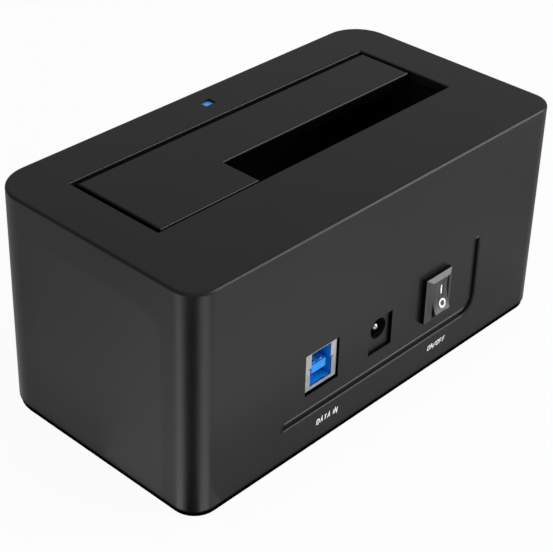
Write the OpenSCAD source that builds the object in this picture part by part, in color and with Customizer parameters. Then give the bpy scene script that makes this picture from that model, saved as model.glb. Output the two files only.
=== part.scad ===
// Docking station for one bare hard drive, standing on a desk.
// The drive goes in from above: a small one through the open slot, a large one by pushing the flap down.
// The ports and the power switch are in the rear face, which faces +Y. The indicator light is at the front.
// Every module is drawn in the casing's own frame: x and y from the casing's middle, z from the desk.

/* [Casing] */
// Length of the casing from end to end
body_w = 138; // [134:1:156]
// Depth of the casing from front to rear
body_d = 73; // [72:0.5:84]
// Height of the casing without its feet
body_h = 64; // [60:0.5:80]
// Thickness of the side walls
wall_t = 2.2; // [1.8:0.1:2.6]
// Thickness of the top
top_t = 2.6; // [2.4:0.1:3.2]
// Radius of the front corners, seen from above
front_corner_r = 11; // [8:0.5:13]
// Radius of the rear corners, seen from above
rear_corner_r = 6.8; // [5:0.2:9]
// Rounding along the top edge
top_edge_r = 0.8; // [0.4:0.1:1.4]
// Rounding along the bottom edge
bottom_edge_r = 1.2; // [0.6:0.1:1.6]

/* [Base] */
// How far the feet lift the casing off the desk
foot_h = 1; // [0.6:0.1:3]
// Diameter of a foot
foot_d = 10; // [7:0.5:13]
// How deep a foot sits in the base plate
foot_seat = 0.5; // [0.3:0.1:0.9]
// Thickness of the base plate
base_t = 2; // [1.6:0.1:2.8]
// How far the base plate lies inside the casing's lower edge
base_recess = 0.3; // [0.1:0.1:1]
// Gap between the base plate and the walls
base_gap = 0.15; // [0.05:0.05:0.4]
// Diameter of a corner screw boss
boss_d = 5.6; // [5:0.2:6.6]
// Distance of the corner bosses from the casing's outer faces
boss_inset = 7.3; // [7:0.1:8.4]
// Width of a ventilation slot in the base plate
vent_w = 2; // [1.2:0.2:3]
// Length of a ventilation slot in the base plate
vent_len = 18; // [8:1:24]

/* [Drive bay] */
// Length of the bay's opening in the top
bay_w = 109.6; // [107:0.2:114]
// Depth of the bay's opening in the top
bay_d = 32.05; // [31:0.05:33]
// How far the bay's middle lies in front of the casing's middle
bay_setback = 6.025; // [5:0.025:7]
// Rounding of the opening's upper edge
bay_edge_r = 0.5; // [0.2:0.1:0.8]
// Length of the open slot for a small drive
slot_w = 75; // [72:0.5:80]
// Depth of the open slot for a small drive
slot_d = 13.4; // [11:0.2:15]
// Wall thickness of the drive well
well_wall = 1.6; // [1.2:0.1:2]
// Distance from the bay's ends to the well's end walls
well_side_gap = 0.8; // [0.5:0.1:1.4]
// Distance from the bay's rear edge to the well's rear wall
well_rear_gap = 2; // [1.8:0.1:2.6]
// Free height between the board and the well's floor
well_lift = 3.9; // [3.6:0.1:6]
// Thickness of the well's floor
well_floor_t = 2; // [1.4:0.1:2.6]

/* [Flap] */
// Thickness of the flap
flap_t = 2; // [1.6:0.1:2.3]
// Gap at each end of the flap
flap_end_gap = 1.3; // [0.6:0.1:1.8]
// Gap in front of the flap
flap_front_gap = 1.55; // [1:0.05:2]
// Gap behind the flap
flap_rear_gap = 0.6; // [0.4:0.1:1]
// Rounding of the flap's upper edges
flap_edge_r = 0.5; // [0.2:0.1:0.8]
// Diameter of the hinge rod
rod_d = 2; // [1.6:0.1:2.2]
// Clearance between the rod and the flap's barrel
rod_clearance = 0.05; // [0.02:0.01:0.09]
// Wall thickness of the flap's barrel
barrel_wall = 0.65; // [0.5:0.05:0.75]
// Depth of the hinge axis under the casing's ceiling
hinge_drop = 2.05; // [2:0.05:2.4]
// Wire diameter of the flap's springs
spring_wire_d = 0.5; // [0.3:0.05:0.6]
// Turns of a flap spring, not counting its last quarter turn
spring_turns = 5; // [3:1:6]

/* [Board] */
// Length of the circuit board
board_w = 90; // [86:1:96]
// Distance of the board's middle from the casing's middle
board_x = -7; // [-9:0.5:-5]
// Thickness of the circuit board
board_t = 1.6; // [1:0.1:2]
// Gap between the board's edges and the front and rear walls
board_gap = 0.7; // [0.4:0.1:1.2]
// Height of the posts that carry the board
post_h = 13.2; // [10:0.2:15]
// Diameter of a board post
post_d = 6.5; // [5.5:0.25:7]
// Length of the drive connector
sata_w = 42; // [40:0.5:46]
// Width of the drive connector
sata_d = 7; // [6:0.2:8]
// Height of the drive connector above the board
sata_h = 9.6; // [8.4:0.2:12]
// Distance of the drive connector from the casing's middle
sata_x = -20.7; // [-22:0.1:-19]

/* [Data port] */
// Width of the data port's metal shell
usb_w = 11.4; // [10.8:0.1:12.4]
// Height of the data port's metal shell
usb_h = 11.4; // [11:0.1:12.4]
// Depth of the data port
usb_depth = 16.5; // [14:0.5:18]
// Wall thickness of the metal shell
usb_wall = 0.6; // [0.4:0.05:0.8]
// Distance of the data port from the casing's middle
usb_x = 24.5; // [22:0.5:26]
// How far the data port lies behind the rear face
usb_recess = 0.5; // [0.3:0.1:1.2]

/* [Power jack] */
// Width of the power jack
dc_w = 8.5; // [8:0.1:10]
// Height of the power jack
dc_h = 10.2; // [9.8:0.1:11.4]
// Depth of the power jack
dc_depth = 13.5; // [12:0.5:15]
// Diameter of the power jack's hole
dc_hole_d = 6; // [5.6:0.1:6.6]
// Diameter of the power jack's centre pin
dc_pin_d = 2.1; // [1.6:0.05:2.5]
// Distance of the power jack from the casing's middle
dc_x = 2; // [0:0.25:4]
// How far the power jack lies behind the rear face
dc_recess = 0.9; // [0.5:0.05:1.4]

/* [Power switch] */
// Width of the switch's bezel
bezel_w = 10.6; // [10:0.1:12]
// Height of the switch's bezel
bezel_h = 13.8; // [13.6:0.1:15]
// Height of the bezel's upright rim
bezel_rim = 1.3; // [0.8:0.1:1.8]
// Height of the bezel's bevel above its rim
bezel_bevel = 0.9; // [0.5:0.1:1.4]
// Width of the switch's rocker
rocker_w = 6.1; // [5.6:0.1:6.6]
// Angle of the rocker to each side of its middle
rocker_tilt = 8; // [6:0.5:10]
// Depth of the rocker's pivot behind the rear face
pivot_depth = 2.7; // [2.4:0.1:3.2]
// Diameter of the rocker's trunnions
trunnion_d = 2; // [1.4:0.1:2.4]
// Clearance round the rocker's trunnions
trunnion_clearance = 0.06; // [0.02:0.01:0.09]
// Distance of the switch from the casing's middle
switch_x = -20; // [-22:0.5:-18]

/* [Light and groove] */
// Length of the indicator's window
led_w = 3.6; // [2.6:0.1:4]
// Width of the indicator's window
led_d = 2.6; // [2:0.1:3]
// How far the light pipe's face lies below the top
led_recess = 0.5; // [0.2:0.1:0.8]
// Width of the groove in the rear face
groove_w = 1.8; // [1.4:0.1:2.4]
// Depth of the groove in the rear face
groove_depth = 0.8; // [0.5:0.1:1]
// How far the groove's rim stands out of the rear face
groove_rim_h = 0.2; // [0.1:0.05:0.3]
// Radius of the groove's bend at its middle
groove_bend_r = 4.5; // [3:0.5:7]
// Length of the groove's level run
groove_run = 71; // [64:1:74]
// Length of the groove's upright run
groove_rise = 17.2; // [12:0.2:22]

/* [Hidden] */
$fn = 64;
over = 1;
case_black = "#2b2b2d";
inner_black = "#1c1c1e";
metal = "#c4c6ca";
brass = "#c9a55a";
chip_black = "#202124";

// Casing levels and faces
z_low = foot_h;
z_top = z_low + body_h;
z_ceiling = z_top - top_t;
x_inner = body_w / 2 - wall_t;
y_rear = body_d / 2;
y_rear_inner = y_rear - wall_t;
y_front_inner = wall_t - y_rear;

// Base plate, its bosses and its screws
base_z = z_low + base_recess;
base_top = base_z + base_t;
pad_h = 2;
boss_z = base_top + pad_h;
screw_head_d = 4.6;
screw_head_h = 1.3;
screw_core_d = 2.1;
screw_grip = 7;
screw_hole_gap = 0.05;
screw_pass_gap = 0.25;
screw_tip_room = 0.5;
head_sink = 0.4;
head_gap = 0.3;
head_seat_z = base_z + head_sink + screw_head_h;
cross_len = 2.6;
cross_w = 0.6;
cross_depth = 0.7;
foot_gap = 0.15;
foot_bevel = 0.4;
foot_inset_x = 17;
foot_inset_y = 12.5;
vent_count = 8;
vent_pitch = 6;
boss_spots = [for (sx = [-1, 1], sy = [-1, 1])
    [sx * (body_w / 2 - boss_inset), sy * (body_d / 2 - boss_inset)]];
foot_spots = [for (sx = [-1, 1], sy = [-1, 1])
    [sx * (body_w / 2 - foot_inset_x), sy * (body_d / 2 - foot_inset_y)]];

// Circuit board
board_z = base_top + post_h;
board_top = board_z + board_t;
board_y0 = y_front_inner + board_gap;
board_y1 = y_rear_inner - board_gap;
board_hole_inset = 4;
board_edges_x = [board_x - board_w / 2 + board_hole_inset, board_x + board_w / 2 - board_hole_inset];
board_hole_gap = 3.5;
board_edges_y = [board_y0 + board_hole_inset, y_rear - usb_recess - usb_depth - board_hole_gap];
board_spots = [for (x = board_edges_x, y = board_edges_y) [x, y]];
board_screw_grip = 6;

// Bay, well and flap
bay_y1 = bay_d / 2 - bay_setback;
bay_y0 = bay_y1 - bay_d;
barrel_r = rod_d / 2 + rod_clearance + barrel_wall;
hinge_setback = 0.25;
hinge_y = bay_y0 - hinge_setback;
hinge_z = z_ceiling - hinge_drop;
well_front_gap = 0.6;
well_x = bay_w / 2 + well_side_gap;
well_y0 = hinge_y - barrel_r - well_front_gap;
well_y1 = bay_y1 + well_rear_gap;
well_front = well_y0 - well_wall;
well_back = well_y1 + well_wall;
well_floor_z = board_top + well_lift + well_floor_t;
sata_setback = 3.8;
sata_y = bay_y1 - sata_setback;
sata_floor_gap = 0.8;
rod_hole_gap = 0.02;
rod_boss_gap = 0.15;
rod_boss_r = hinge_drop - rod_boss_gap;
rod_boss_len = 1.8;
ear_len = 6.4;
ear_w = 7;
ear_t = 3;
ear_boss_h = 5;
ear_boss_d = 6;
ear_x = [-40, 40];
ear_spots = [for (x = ear_x) [x, well_back + ear_len / 2]];
hook_x = [-30, 30];
hook_w = 8;
hook_t = 1.4;
hook_gap = 0.2;
lip_len = 1.4;
lip_t = 1.6;
lip_drop = 6;
lip_z = z_ceiling - lip_drop - lip_t;
hook_y = well_front - lip_len - hook_gap;
well_screw_core_d = 1.7;
well_screw_grip = 4;
rib_w = 1.6;
rear_rib_drop = 16.4;
end_rib_drop = 24.4;
rib_top_rear = z_ceiling - rear_rib_drop;
rib_top_end = z_ceiling - end_rib_drop;
drive_gap_rear = 0.15;
end_rib_reach = 4;
end_rib_w = 2.5;
end_rib_setback = 6;
end_rib_y = [bay_y1 - end_rib_setback, bay_y1 - end_rib_setback + end_rib_w];
rear_rib_x = [-46, -8, 24, 46];

flap_x = bay_w / 2 - flap_end_gap;
flap_y0 = bay_y0 + flap_front_gap;
flap_y1 = bay_y1 - flap_rear_gap;
flap_z = z_top - flap_t;
flap_slot_x = slot_w - bay_w / 2;
flap_slot_y = bay_y1 - slot_d;
flap_front_r = 0.8;
barrel_end_gap = 0.5;
barrel_x = well_x - rod_boss_len - barrel_end_gap;
pocket_end = 7.3;
pocket_w = 8;
pocket_x = [barrel_x - pocket_end - pocket_w, barrel_x - pocket_end];
arm_t = 1.6;
skirt_t = 1.2;
skirt_h = 1.6;
tab_spots = [flap_slot_x + 8, flap_x - 8];
tab_w = 6;
tab_len = 4.9;
tab_neck = 2.8;
tab_h = 1.5;
tab_gap = 0.3;
tab_inset = 0.2;
tab_y0 = flap_y1 - tab_inset - tab_neck;
tab_y1 = tab_y0 + tab_len;

// Flap springs: a coil round the rod, one leg on the well's front wall, one under the flap
coil_gap = 0.2;
coil_r = rod_d / 2 + coil_gap + spring_wire_d / 2;
coil_space = 0.45;
coil_pitch = spring_wire_d + coil_space;
coil_end_turn = 0.25;
coil_rings = 8;
tube_sides = 6;
leg_len = 9;
leg_gap = 0.15;
pocket_gap = 1.5;
spring_x = [pocket_gap - pocket_x[1], pocket_gap + pocket_x[0]];

// Ports
port_gap = 0.3;
usb_gap = 0.5;
port_gap_z = 0.1;
usb_stand = 0.7;
usb_stand_share = 0.6;
usb_y = y_rear - usb_recess;
usb_z = board_top + usb_stand + usb_h / 2;
usb_liner = 0.5;
usb_cavity_depth = 9;
usb_lip_t = 0.45;
usb_lip_low = 1;
usb_lower_w = 8;
usb_upper_w = 7.2;
usb_step_lift = 6.4;
usb_notch = [0.55, 0.4];
usb_tongue_w = 5.2;
usb_tongue_h = 2.45;
usb_tongue_lift = 5.15;
usb_tongue_sink = 0.8;
usb_upper_count = 5;
usb_upper_pitch = usb_upper_w / (usb_upper_count + 1);
usb_contact_t = 0.25;
usb_contact_w = 0.9;
usb_contact_sink = 0.6;
usb_in_w = usb_w / 2 - usb_wall;
usb_in_h = usb_h / 2 - usb_wall;
usb_tongue_z = usb_tongue_lift - usb_h / 2;
usb_step_z = usb_step_lift - usb_h / 2;
usb_low_z = usb_lip_low - usb_h / 2;
usb_floor_y = -usb_lip_t - usb_cavity_depth;
dc_y = y_rear - dc_recess;
dc_axis_lift = 6.25;
dc_axis_z = board_top + dc_axis_lift;
dc_hole_depth = 9.8;
dc_pin_sink = 0.45;
dc_leaf_sink = 1.25;
dc_leaf_w = 2;
dc_leaf_t = 0.35;

// Power switch, in a local frame at the rocker's pivot
switch_lift = 7.05;
switch_z = board_top + switch_lift;
pivot_y = y_rear - pivot_depth;
housing_depth = 12.6;
housing_back = 1.2;
housing_gap = 0.1;
cavity_gap = 0.3;
cavity_end_gap = 0.1;
cavity_w = rocker_w + 2 * cavity_gap;
housing_side = 0.9;
housing_end = 0.75;
housing_root = 0.5;
bevel_lip = 0.1;
clip_h = 0.6;
clip_len = 3;
rocker_face = 5.35;
rocker_end = 4.8;
rocker_hollow = 0.75;
rocker_waist = 3.5;
rocker_root = 2.2;
cavity_h = 2 * (rocker_face * sin(rocker_tilt) + rocker_end * cos(rocker_tilt) + cavity_end_gap);
housing_w = cavity_w + 2 * housing_side;
housing_h = cavity_h + 2 * housing_end;
hollow_r = (rocker_end * rocker_end + rocker_hollow * rocker_hollow) / (2 * rocker_hollow);
trunnion_len = 0.7;
tail_r = 1.5;
tail_len = 4;
plunger_r = 0.9;
plunger_gap = 0.1;
plunger_stem = 2;
plunger_reach = 6.3;
detent_stop = 0.4;
detent_wire_d = 0.25;
detent_turns = 3;
detent_end_gap = 0.1;
detent_room = plunger_reach - plunger_r - plunger_stem - detent_stop;
detent_pitch = (detent_room - detent_wire_d - 2 * detent_end_gap) / detent_turns;
blade_w = 3.4;
blade_h = 7.8;
blade_t = 0.4;
blade_share = 2 / 3;
blade_tilt = -blade_share * rocker_tilt;
blade_gap = 0.3;
ridge_r = 0.3;
blade_y = pivot_y - plunger_reach - blade_gap - blade_t;
terminal_w = 4;
terminal_t = 0.8;
terminal_len = 3.6;
terminal_pad = 2;
contact_drop = 3.9;
contact_gap = 0.57;
terminal_y = y_rear - housing_depth - terminal_len;
wire_d = 1.2;
wire_bend = 1.2;
wire_lead = 0.4;
wire_offset = 1.2;

// The rocker's lower end sets how far the part reaches behind the rear face
rocker_reach = rocker_face * cos(rocker_tilt) + rocker_end * sin(rocker_tilt) - pivot_depth;

// Light pipe, at a share of the room between the front wall and the well
led_share = 0.62;
led_y = y_front_inner + led_share * (well_front - y_front_inner);
led_gap = 0.1;
pipe_r = 1.2;
pipe_flange_w = 6;
pipe_flange_t = 0.8;
pipe_air = 0.3;
led_chip = [2, 1.25, 0.9];

// Groove in the rear face
groove_shoulder = [0.15, 0.15];
groove_rim_crest = 0.15;
groove_rim_w = 0.45;
groove_drop = 5.8;
groove_z = board_top - groove_drop;
groove_x = -37.6;

// Parts on the board: places from the casing's middle and from the rear face
capacitor_x = (usb_x - usb_w / 2 + dc_x + dc_w / 2) / 2;
capacitor_spots = [[capacitor_x, 15.4], [capacitor_x, 8], [-33.5, 14.5]];
capacitor_d = 6.3;
capacitor_h = 8;
capacitor_neck = 0.4;
capacitor_neck_z = 2;
inductor_spot = [-9, 14.5];
inductor_w = 7;
inductor_h = 4.5;
inductor_dish = 0.5;
inductor_rim = 1;
controller_spot = [12, 44];
controller_w = 9;
controller_leads = 12;
controller_pitch = 0.65;
flash_spot = [26, 44];
flash_w = 4;
flash_leads = 3;
flash_pitch = 1.27;
regulator_spot = [-40, 8];
regulator_w = 6.5;
regulator_leads = 4;
regulator_pitch = 1.5;
crystal_spot = [-2, 53];
crystal_w = 11;
crystal_d = 4.6;
crystal_h = 3.4;
chip_h = 1.4;
lead_t = 0.25;
lead_len = 1;
passive_size = [2, 1.25, 0.8];
passive_rows = [[20, 38], [-2, 44], [30, 54], [-44, 44], [-44, 54], [12, 60]];
passive_count = 3;
passive_pitch = 2.6;

// Drive connector: the starts, widths and contact counts of its data slot and its power slot
sata_slot_d = 2.4;
sata_slot_depth = 7;
sata_key = 1.3;
sata_data_w = 11;
sata_power_w = 21.2;
sata_bridge = 2.4;
sata_start = -(sata_data_w + sata_bridge + sata_power_w) / 2;
sata_pitch = 1.27;
sata_slots = [[sata_start, sata_data_w, 7], [sata_start + sata_data_w + sata_bridge, sata_power_w, 15]];
sata_contact = [0.6, 0.35, 6];

// The part's origin is the middle of the bottom of its box, which takes in the rocker behind the rear face.
module in_frame() {
    translate([0, -rocker_reach / 2, 0]) children();
}

// A box from its low corner to its high corner.
module block(low, high) {
    translate(low) cube(high - low);
}

// A cylinder along +Y from a point.
module rod_y(r, length) {
    rotate([-90, 0, 0]) cylinder(r = r, h = length);
}

// A cylinder along +X from a point.
module rod_x(r, length) {
    rotate([0, 90, 0]) cylinder(r = r, h = length);
}

// An outline in y and z, made solid over a width along x.
module across(width) {
    rotate([90, 0, 90]) linear_extrude(width, center = true) children();
}

// The sharp corner left outside a rounding of radius r. The corner is at the origin, the wall at +x and +y.
module corner_waste(r) {
    difference() {
        translate([-over, -over]) square(r + over);
        translate([r, r]) circle(r);
    }
}

// A wall's section, outward along x and up along y, with its outer corners rounded.
module wall_section(reach, z0, z1, r_top, r_low) {
    difference() {
        translate([0, z0]) square([reach, z1 - z0]);
        if (r_top > 0) translate([reach, z1]) rotate(180) corner_waste(r_top);
        if (r_low > 0) translate([reach, z0]) rotate(90) corner_waste(r_low);
    }
}

// One straight side of the casing's form, facing outward at an angle from +X.
module straight_side(angle, start, shift, length, reach, z0, z1, r_top, r_low) {
    rotate(angle) translate([start, shift, 0]) rotate([90, 0, 0])
        linear_extrude(length, center = true) wall_section(reach, z0, z1, r_top, r_low);
}

// The casing's form between two heights, drawn in by an inset on all sides.
module casing_form(inset, z0, z1, r_top, r_low) {
    w = body_w / 2 - inset;
    d = body_d / 2 - inset;
    rf = front_corner_r - inset;
    rr = rear_corner_r - inset;
    for (sx = [-1, 1]) {
        translate([sx * (w - rr), d - rr, 0]) rotate(sx > 0 ? 0 : 90)
            rotate_extrude(angle = 90) wall_section(rr, z0, z1, r_top, r_low);
        translate([sx * (w - rf), rf - d, 0]) rotate(sx > 0 ? 270 : 180)
            rotate_extrude(angle = 90) wall_section(rf, z0, z1, r_top, r_low);
        straight_side(sx > 0 ? 0 : 180, w - rf, sx * (rf - rr) / 2, 2 * d - rf - rr, rf,
            z0, z1, r_top, r_low);
    }
    straight_side(90, d - rr, 0, 2 * (w - rr), rr, z0, z1, r_top, r_low);
    straight_side(270, d - rf, 0, 2 * (w - rf), rf, z0, z1, r_top, r_low);
    block([rf - w, rf - d, z0], [w - rf, d - rr, z1]);
}

// A pan head screw pointing up, its head's seat at the origin.
module screw(core_d, length) {
    cylinder(d = core_d, h = length);
    difference() {
        translate([0, 0, -screw_head_h]) cylinder(d = screw_head_d, h = screw_head_h);
        for (turn = [0, 90]) rotate(turn)
            block([-cross_len / 2, -cross_w / 2, -screw_head_h - over],
                [cross_len / 2, cross_w / 2, cross_depth - screw_head_h]);
    }
}

// The bay's opening through the top, with a rounded upper edge.
module bay_opening() {
    r = bay_edge_r;
    x = bay_w / 2;
    z = z_top - r;
    block([-x, bay_y0, z_ceiling - over], [x, bay_y1, z_top + over]);
    difference() {
        block([-x - r, bay_y0 - r, z], [x + r, bay_y1 + r, z_top + over]);
        for (sx = [-1, 1]) translate([sx * (x + r), bay_y0 - over - r, z])
            rod_y(r, bay_d + 2 * over + 2 * r);
        for (y = [bay_y0 - r, bay_y1 + r]) translate([-x - over - r, y, z])
            rod_x(r, bay_w + 2 * over + 2 * r);
    }
}

// Half of the groove's section, with a sloping shoulder: out from its middle along x, out of the rear face
// along y.
module groove_half() {
    inner = groove_w / 2;
    outer = inner + groove_shoulder.x;
    polygon([[0, -groove_depth], [inner, -groove_depth], [inner, -groove_shoulder.y], [outer, 0],
        [outer + groove_rim_crest, groove_rim_h], [outer + groove_rim_crest, over], [0, over]]);
}

// Half of the section of the raised rim: its inner flank goes on from the groove's shoulder.
module rim_half() {
    inner = groove_w / 2;
    outer = inner + groove_shoulder.x;
    polygon([[inner, -groove_depth / 2], [inner, groove_rim_h], [outer + groove_rim_crest, groove_rim_h],
        [outer + groove_rim_w, 0], [outer + groove_rim_w, -groove_depth / 2]]);
}

module both_halves() {
    children();
    mirror([1, 0]) children();
}

// Carries half a section along the groove under and beside the ports: a level run, a bend and an upright run
// with round ends.
module along_groove() {
    bend_x = groove_x + groove_bend_r;
    bend_z = groove_z + groove_bend_r;
    translate([bend_x, y_rear, groove_z]) rotate([0, 90, 0])
        linear_extrude(groove_run) both_halves() children();
    translate([groove_x, y_rear, bend_z]) linear_extrude(groove_rise) both_halves() children();
    translate([bend_x, y_rear, bend_z]) rotate([-90, 0, 0]) rotate(90)
        rotate_extrude(angle = 90) translate([groove_bend_r, 0]) both_halves() children();
    translate([bend_x + groove_run, y_rear, groove_z]) rotate([-90, 0, 0]) rotate(270)
        rotate_extrude(angle = 180) children();
    translate([groove_x, y_rear, bend_z + groove_rise]) rotate([-90, 0, 0]) rotate(180)
        rotate_extrude(angle = 180) children();
}

// A rectangular hole through the rear wall, given by its middle and its size.
module rear_hole(x, z, w, h) {
    block([x - w / 2, y_rear_inner - over, z - h / 2], [x + w / 2, y_rear + over, z + h / 2]);
}

// A hook that hangs from the casing's top, with its foot under a lip on the well's front wall.
module well_hook() {
    block([-hook_w / 2, hook_y - hook_t, lip_z - hook_t], [hook_w / 2, hook_y, z_ceiling + top_t / 2]);
    block([-hook_w / 2, hook_y - hook_t, lip_z - hook_t], [hook_w / 2, well_front - hook_gap, lip_z]);
}

// The casing: four walls and the top in one moulding, with the screw bosses and the well's hooks inside.
module main_shell() {
    color(case_black) difference() {
        union() {
            difference() {
                casing_form(0, z_low, z_top, top_edge_r, bottom_edge_r);
                casing_form(wall_t, z_low - over, z_ceiling, 0, 0);
            }
            for (p = boss_spots) translate([p.x, p.y, boss_z]) cylinder(d = boss_d, h = z_ceiling - boss_z);
            for (p = ear_spots) translate([p.x, p.y, z_ceiling - ear_boss_h])
                cylinder(d = ear_boss_d, h = ear_boss_h);
            for (x = hook_x) translate([x, 0, 0]) well_hook();
            along_groove() rim_half();
        }
        bay_opening();
        along_groove() groove_half();
        rear_hole(usb_x, usb_z - usb_stand / 2, usb_w + 2 * usb_gap, usb_h + usb_stand + 2 * port_gap_z);
        rear_hole(dc_x, board_top + dc_h / 2, dc_w + 2 * port_gap, dc_h + 2 * port_gap_z);
        rear_hole(switch_x, switch_z, housing_w + 2 * housing_gap, housing_h + 2 * housing_gap);
        translate([-led_w / 2 - led_gap, led_y - led_d / 2 - led_gap, z_ceiling - over])
            cube([led_w + 2 * led_gap, led_d + 2 * led_gap, top_t + 2 * over]);
        for (p = boss_spots) translate([p.x, p.y, boss_z - over])
            cylinder(d = screw_core_d + 2 * screw_hole_gap, h = screw_grip + screw_tip_room + over);
        for (p = ear_spots) translate([p.x, p.y, z_ceiling - ear_boss_h - over])
            cylinder(d = well_screw_core_d + 2 * screw_hole_gap, h = well_screw_grip + screw_tip_room + over);
    }
}

// The base plate closes the casing from below and carries the board on posts.
module base_plate() {
    color(inner_black) difference() {
        union() {
            casing_form(wall_t + base_gap, base_z, base_top, 0, 0);
            intersection() {
                casing_form(wall_t + base_gap, base_z, boss_z, 0, 0);
                for (p = boss_spots) translate([p.x, p.y, base_top - base_t / 2])
                    cylinder(d = boss_d, h = pad_h + base_t / 2);
            }
            for (p = board_spots) translate([p.x, p.y, base_top - base_t / 2])
                cylinder(d = post_d, h = post_h + base_t / 2);
        }
        for (p = boss_spots) translate([p.x, p.y, base_z - over]) {
            cylinder(d = screw_core_d + 2 * screw_pass_gap, h = base_t + pad_h + 2 * over);
            cylinder(d = screw_head_d + 2 * head_gap, h = head_seat_z - base_z + over);
        }
        for (p = foot_spots) translate([p.x, p.y, base_z - over])
            cylinder(d = foot_d + 2 * foot_gap, h = foot_seat + over);
        for (p = board_spots) translate([p.x, p.y, board_z - board_screw_grip - screw_tip_room])
            cylinder(d = screw_core_d + 2 * screw_hole_gap, h = board_screw_grip + screw_tip_room + over);
        for (i = [0:vent_count - 1], sy = [-1, 1])
            translate([(i - (vent_count - 1) / 2) * vent_pitch, sy * (vent_len / 2 + vent_w), base_z - over])
                translate([-vent_w / 2, -vent_len / 2, 0]) cube([vent_w, vent_len, base_t + 2 * over]);
    }
}

// Four screws hold the base plate to the casing's corner bosses.
module base_screws() {
    color(metal) for (p = boss_spots) translate([p.x, p.y, head_seat_z])
        screw(screw_core_d, boss_z - head_seat_z + screw_grip);
}

// Four rubber feet, each in a shallow seat under the base plate.
module rubber_feet() {
    h = base_z + foot_seat;
    r = foot_d / 2;
    color("#151515") for (p = foot_spots) translate([p.x, p.y, 0]) rotate_extrude()
        polygon([[0, 0], [r - foot_bevel, 0], [r, foot_bevel], [r, h], [0, h]]);
}

// The well under the bay: four walls and a floor, held to the casing's top by two ears and two lips.
module drive_well() {
    z0 = board_top + well_lift;
    x1 = well_x + well_wall;
    ear_z = z_ceiling - ear_boss_h - ear_t;
    rear_rib_y = bay_y1 + drive_gap_rear;
    color(inner_black) difference() {
        union() {
            difference() {
                block([-x1, well_front, z0], [x1, well_back, z_ceiling]);
                block([-well_x, well_y0, well_floor_z], [well_x, well_y1, z_ceiling + over]);
            }
            for (x = ear_x) block([x - ear_w / 2, well_y1 + well_wall / 2, ear_z],
                [x + ear_w / 2, well_back + ear_len, ear_z + ear_t]);
            for (x = hook_x) block([x - hook_w / 2, well_front - lip_len, lip_z],
                [x + hook_w / 2, well_front + well_wall / 2, lip_z + lip_t]);
            for (x = rear_rib_x) block([x - rib_w / 2, rear_rib_y, well_floor_z - well_floor_t / 2],
                [x + rib_w / 2, well_y1 + well_wall / 2, rib_top_rear]);
            for (sx = [0, 1]) mirror([sx, 0, 0])
                block([well_x - end_rib_reach, end_rib_y[0], well_floor_z - well_floor_t / 2],
                    [well_x + well_wall / 2, end_rib_y[1], rib_top_end]);
            for (sx = [0, 1]) mirror([sx, 0, 0]) translate([well_x - rod_boss_len, hinge_y, hinge_z])
                rod_x(rod_boss_r, rod_boss_len + well_wall / 2);
        }
        translate([-x1 - over, hinge_y, hinge_z]) rod_x(rod_d / 2 + rod_hole_gap, 2 * (x1 + over));
        for (p = ear_spots) translate([p.x, p.y, ear_z - over])
            cylinder(d = well_screw_core_d + 2 * screw_pass_gap, h = ear_t + 2 * over);
        translate([sata_x, sata_y, 0])
            block([-sata_w / 2 - sata_floor_gap, -sata_d / 2 - sata_floor_gap, z0 - over],
                [sata_w / 2 + sata_floor_gap, sata_d / 2 + sata_floor_gap, well_floor_z + over]);
    }
}

// Two screws hold the well's ears to the bosses under the casing's top.
module well_screws() {
    color(metal) for (p = ear_spots) translate([p.x, p.y, z_ceiling - ear_boss_h - ear_t])
        screw(well_screw_core_d, ear_t + well_screw_grip);
}

// A rounding along x for a flap edge that faces forward (side -1) or to the rear (side 1).
module flap_edge_x(x0, x1, y, side, r) {
    translate([(x0 + x1) / 2, y, z_top]) across(x1 - x0) rotate(side > 0 ? 180 : 270) corner_waste(r);
}

// A rounding along y for a flap edge that faces +X (side 1) or -X (side -1).
module flap_edge_y(x, y0, y1, side, r) {
    translate([x, (y0 + y1) / 2, z_top]) rotate([90, 0, 0])
        linear_extrude(y1 - y0, center = true) rotate(side > 0 ? 180 : 270) corner_waste(r);
}

// The flap's arm from its plate down to the barrel, as an outline in y and z.
module arm_outline() {
    polygon([[flap_y0, flap_z + flap_t / 2], [flap_y0, hinge_z + barrel_r / 2], [hinge_y, hinge_z],
        [hinge_y, hinge_z - barrel_r], [flap_y0 + arm_t, hinge_z - barrel_r / 2],
        [flap_y0 + 2 * arm_t, flap_z + flap_t / 2]]);
}

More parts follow.
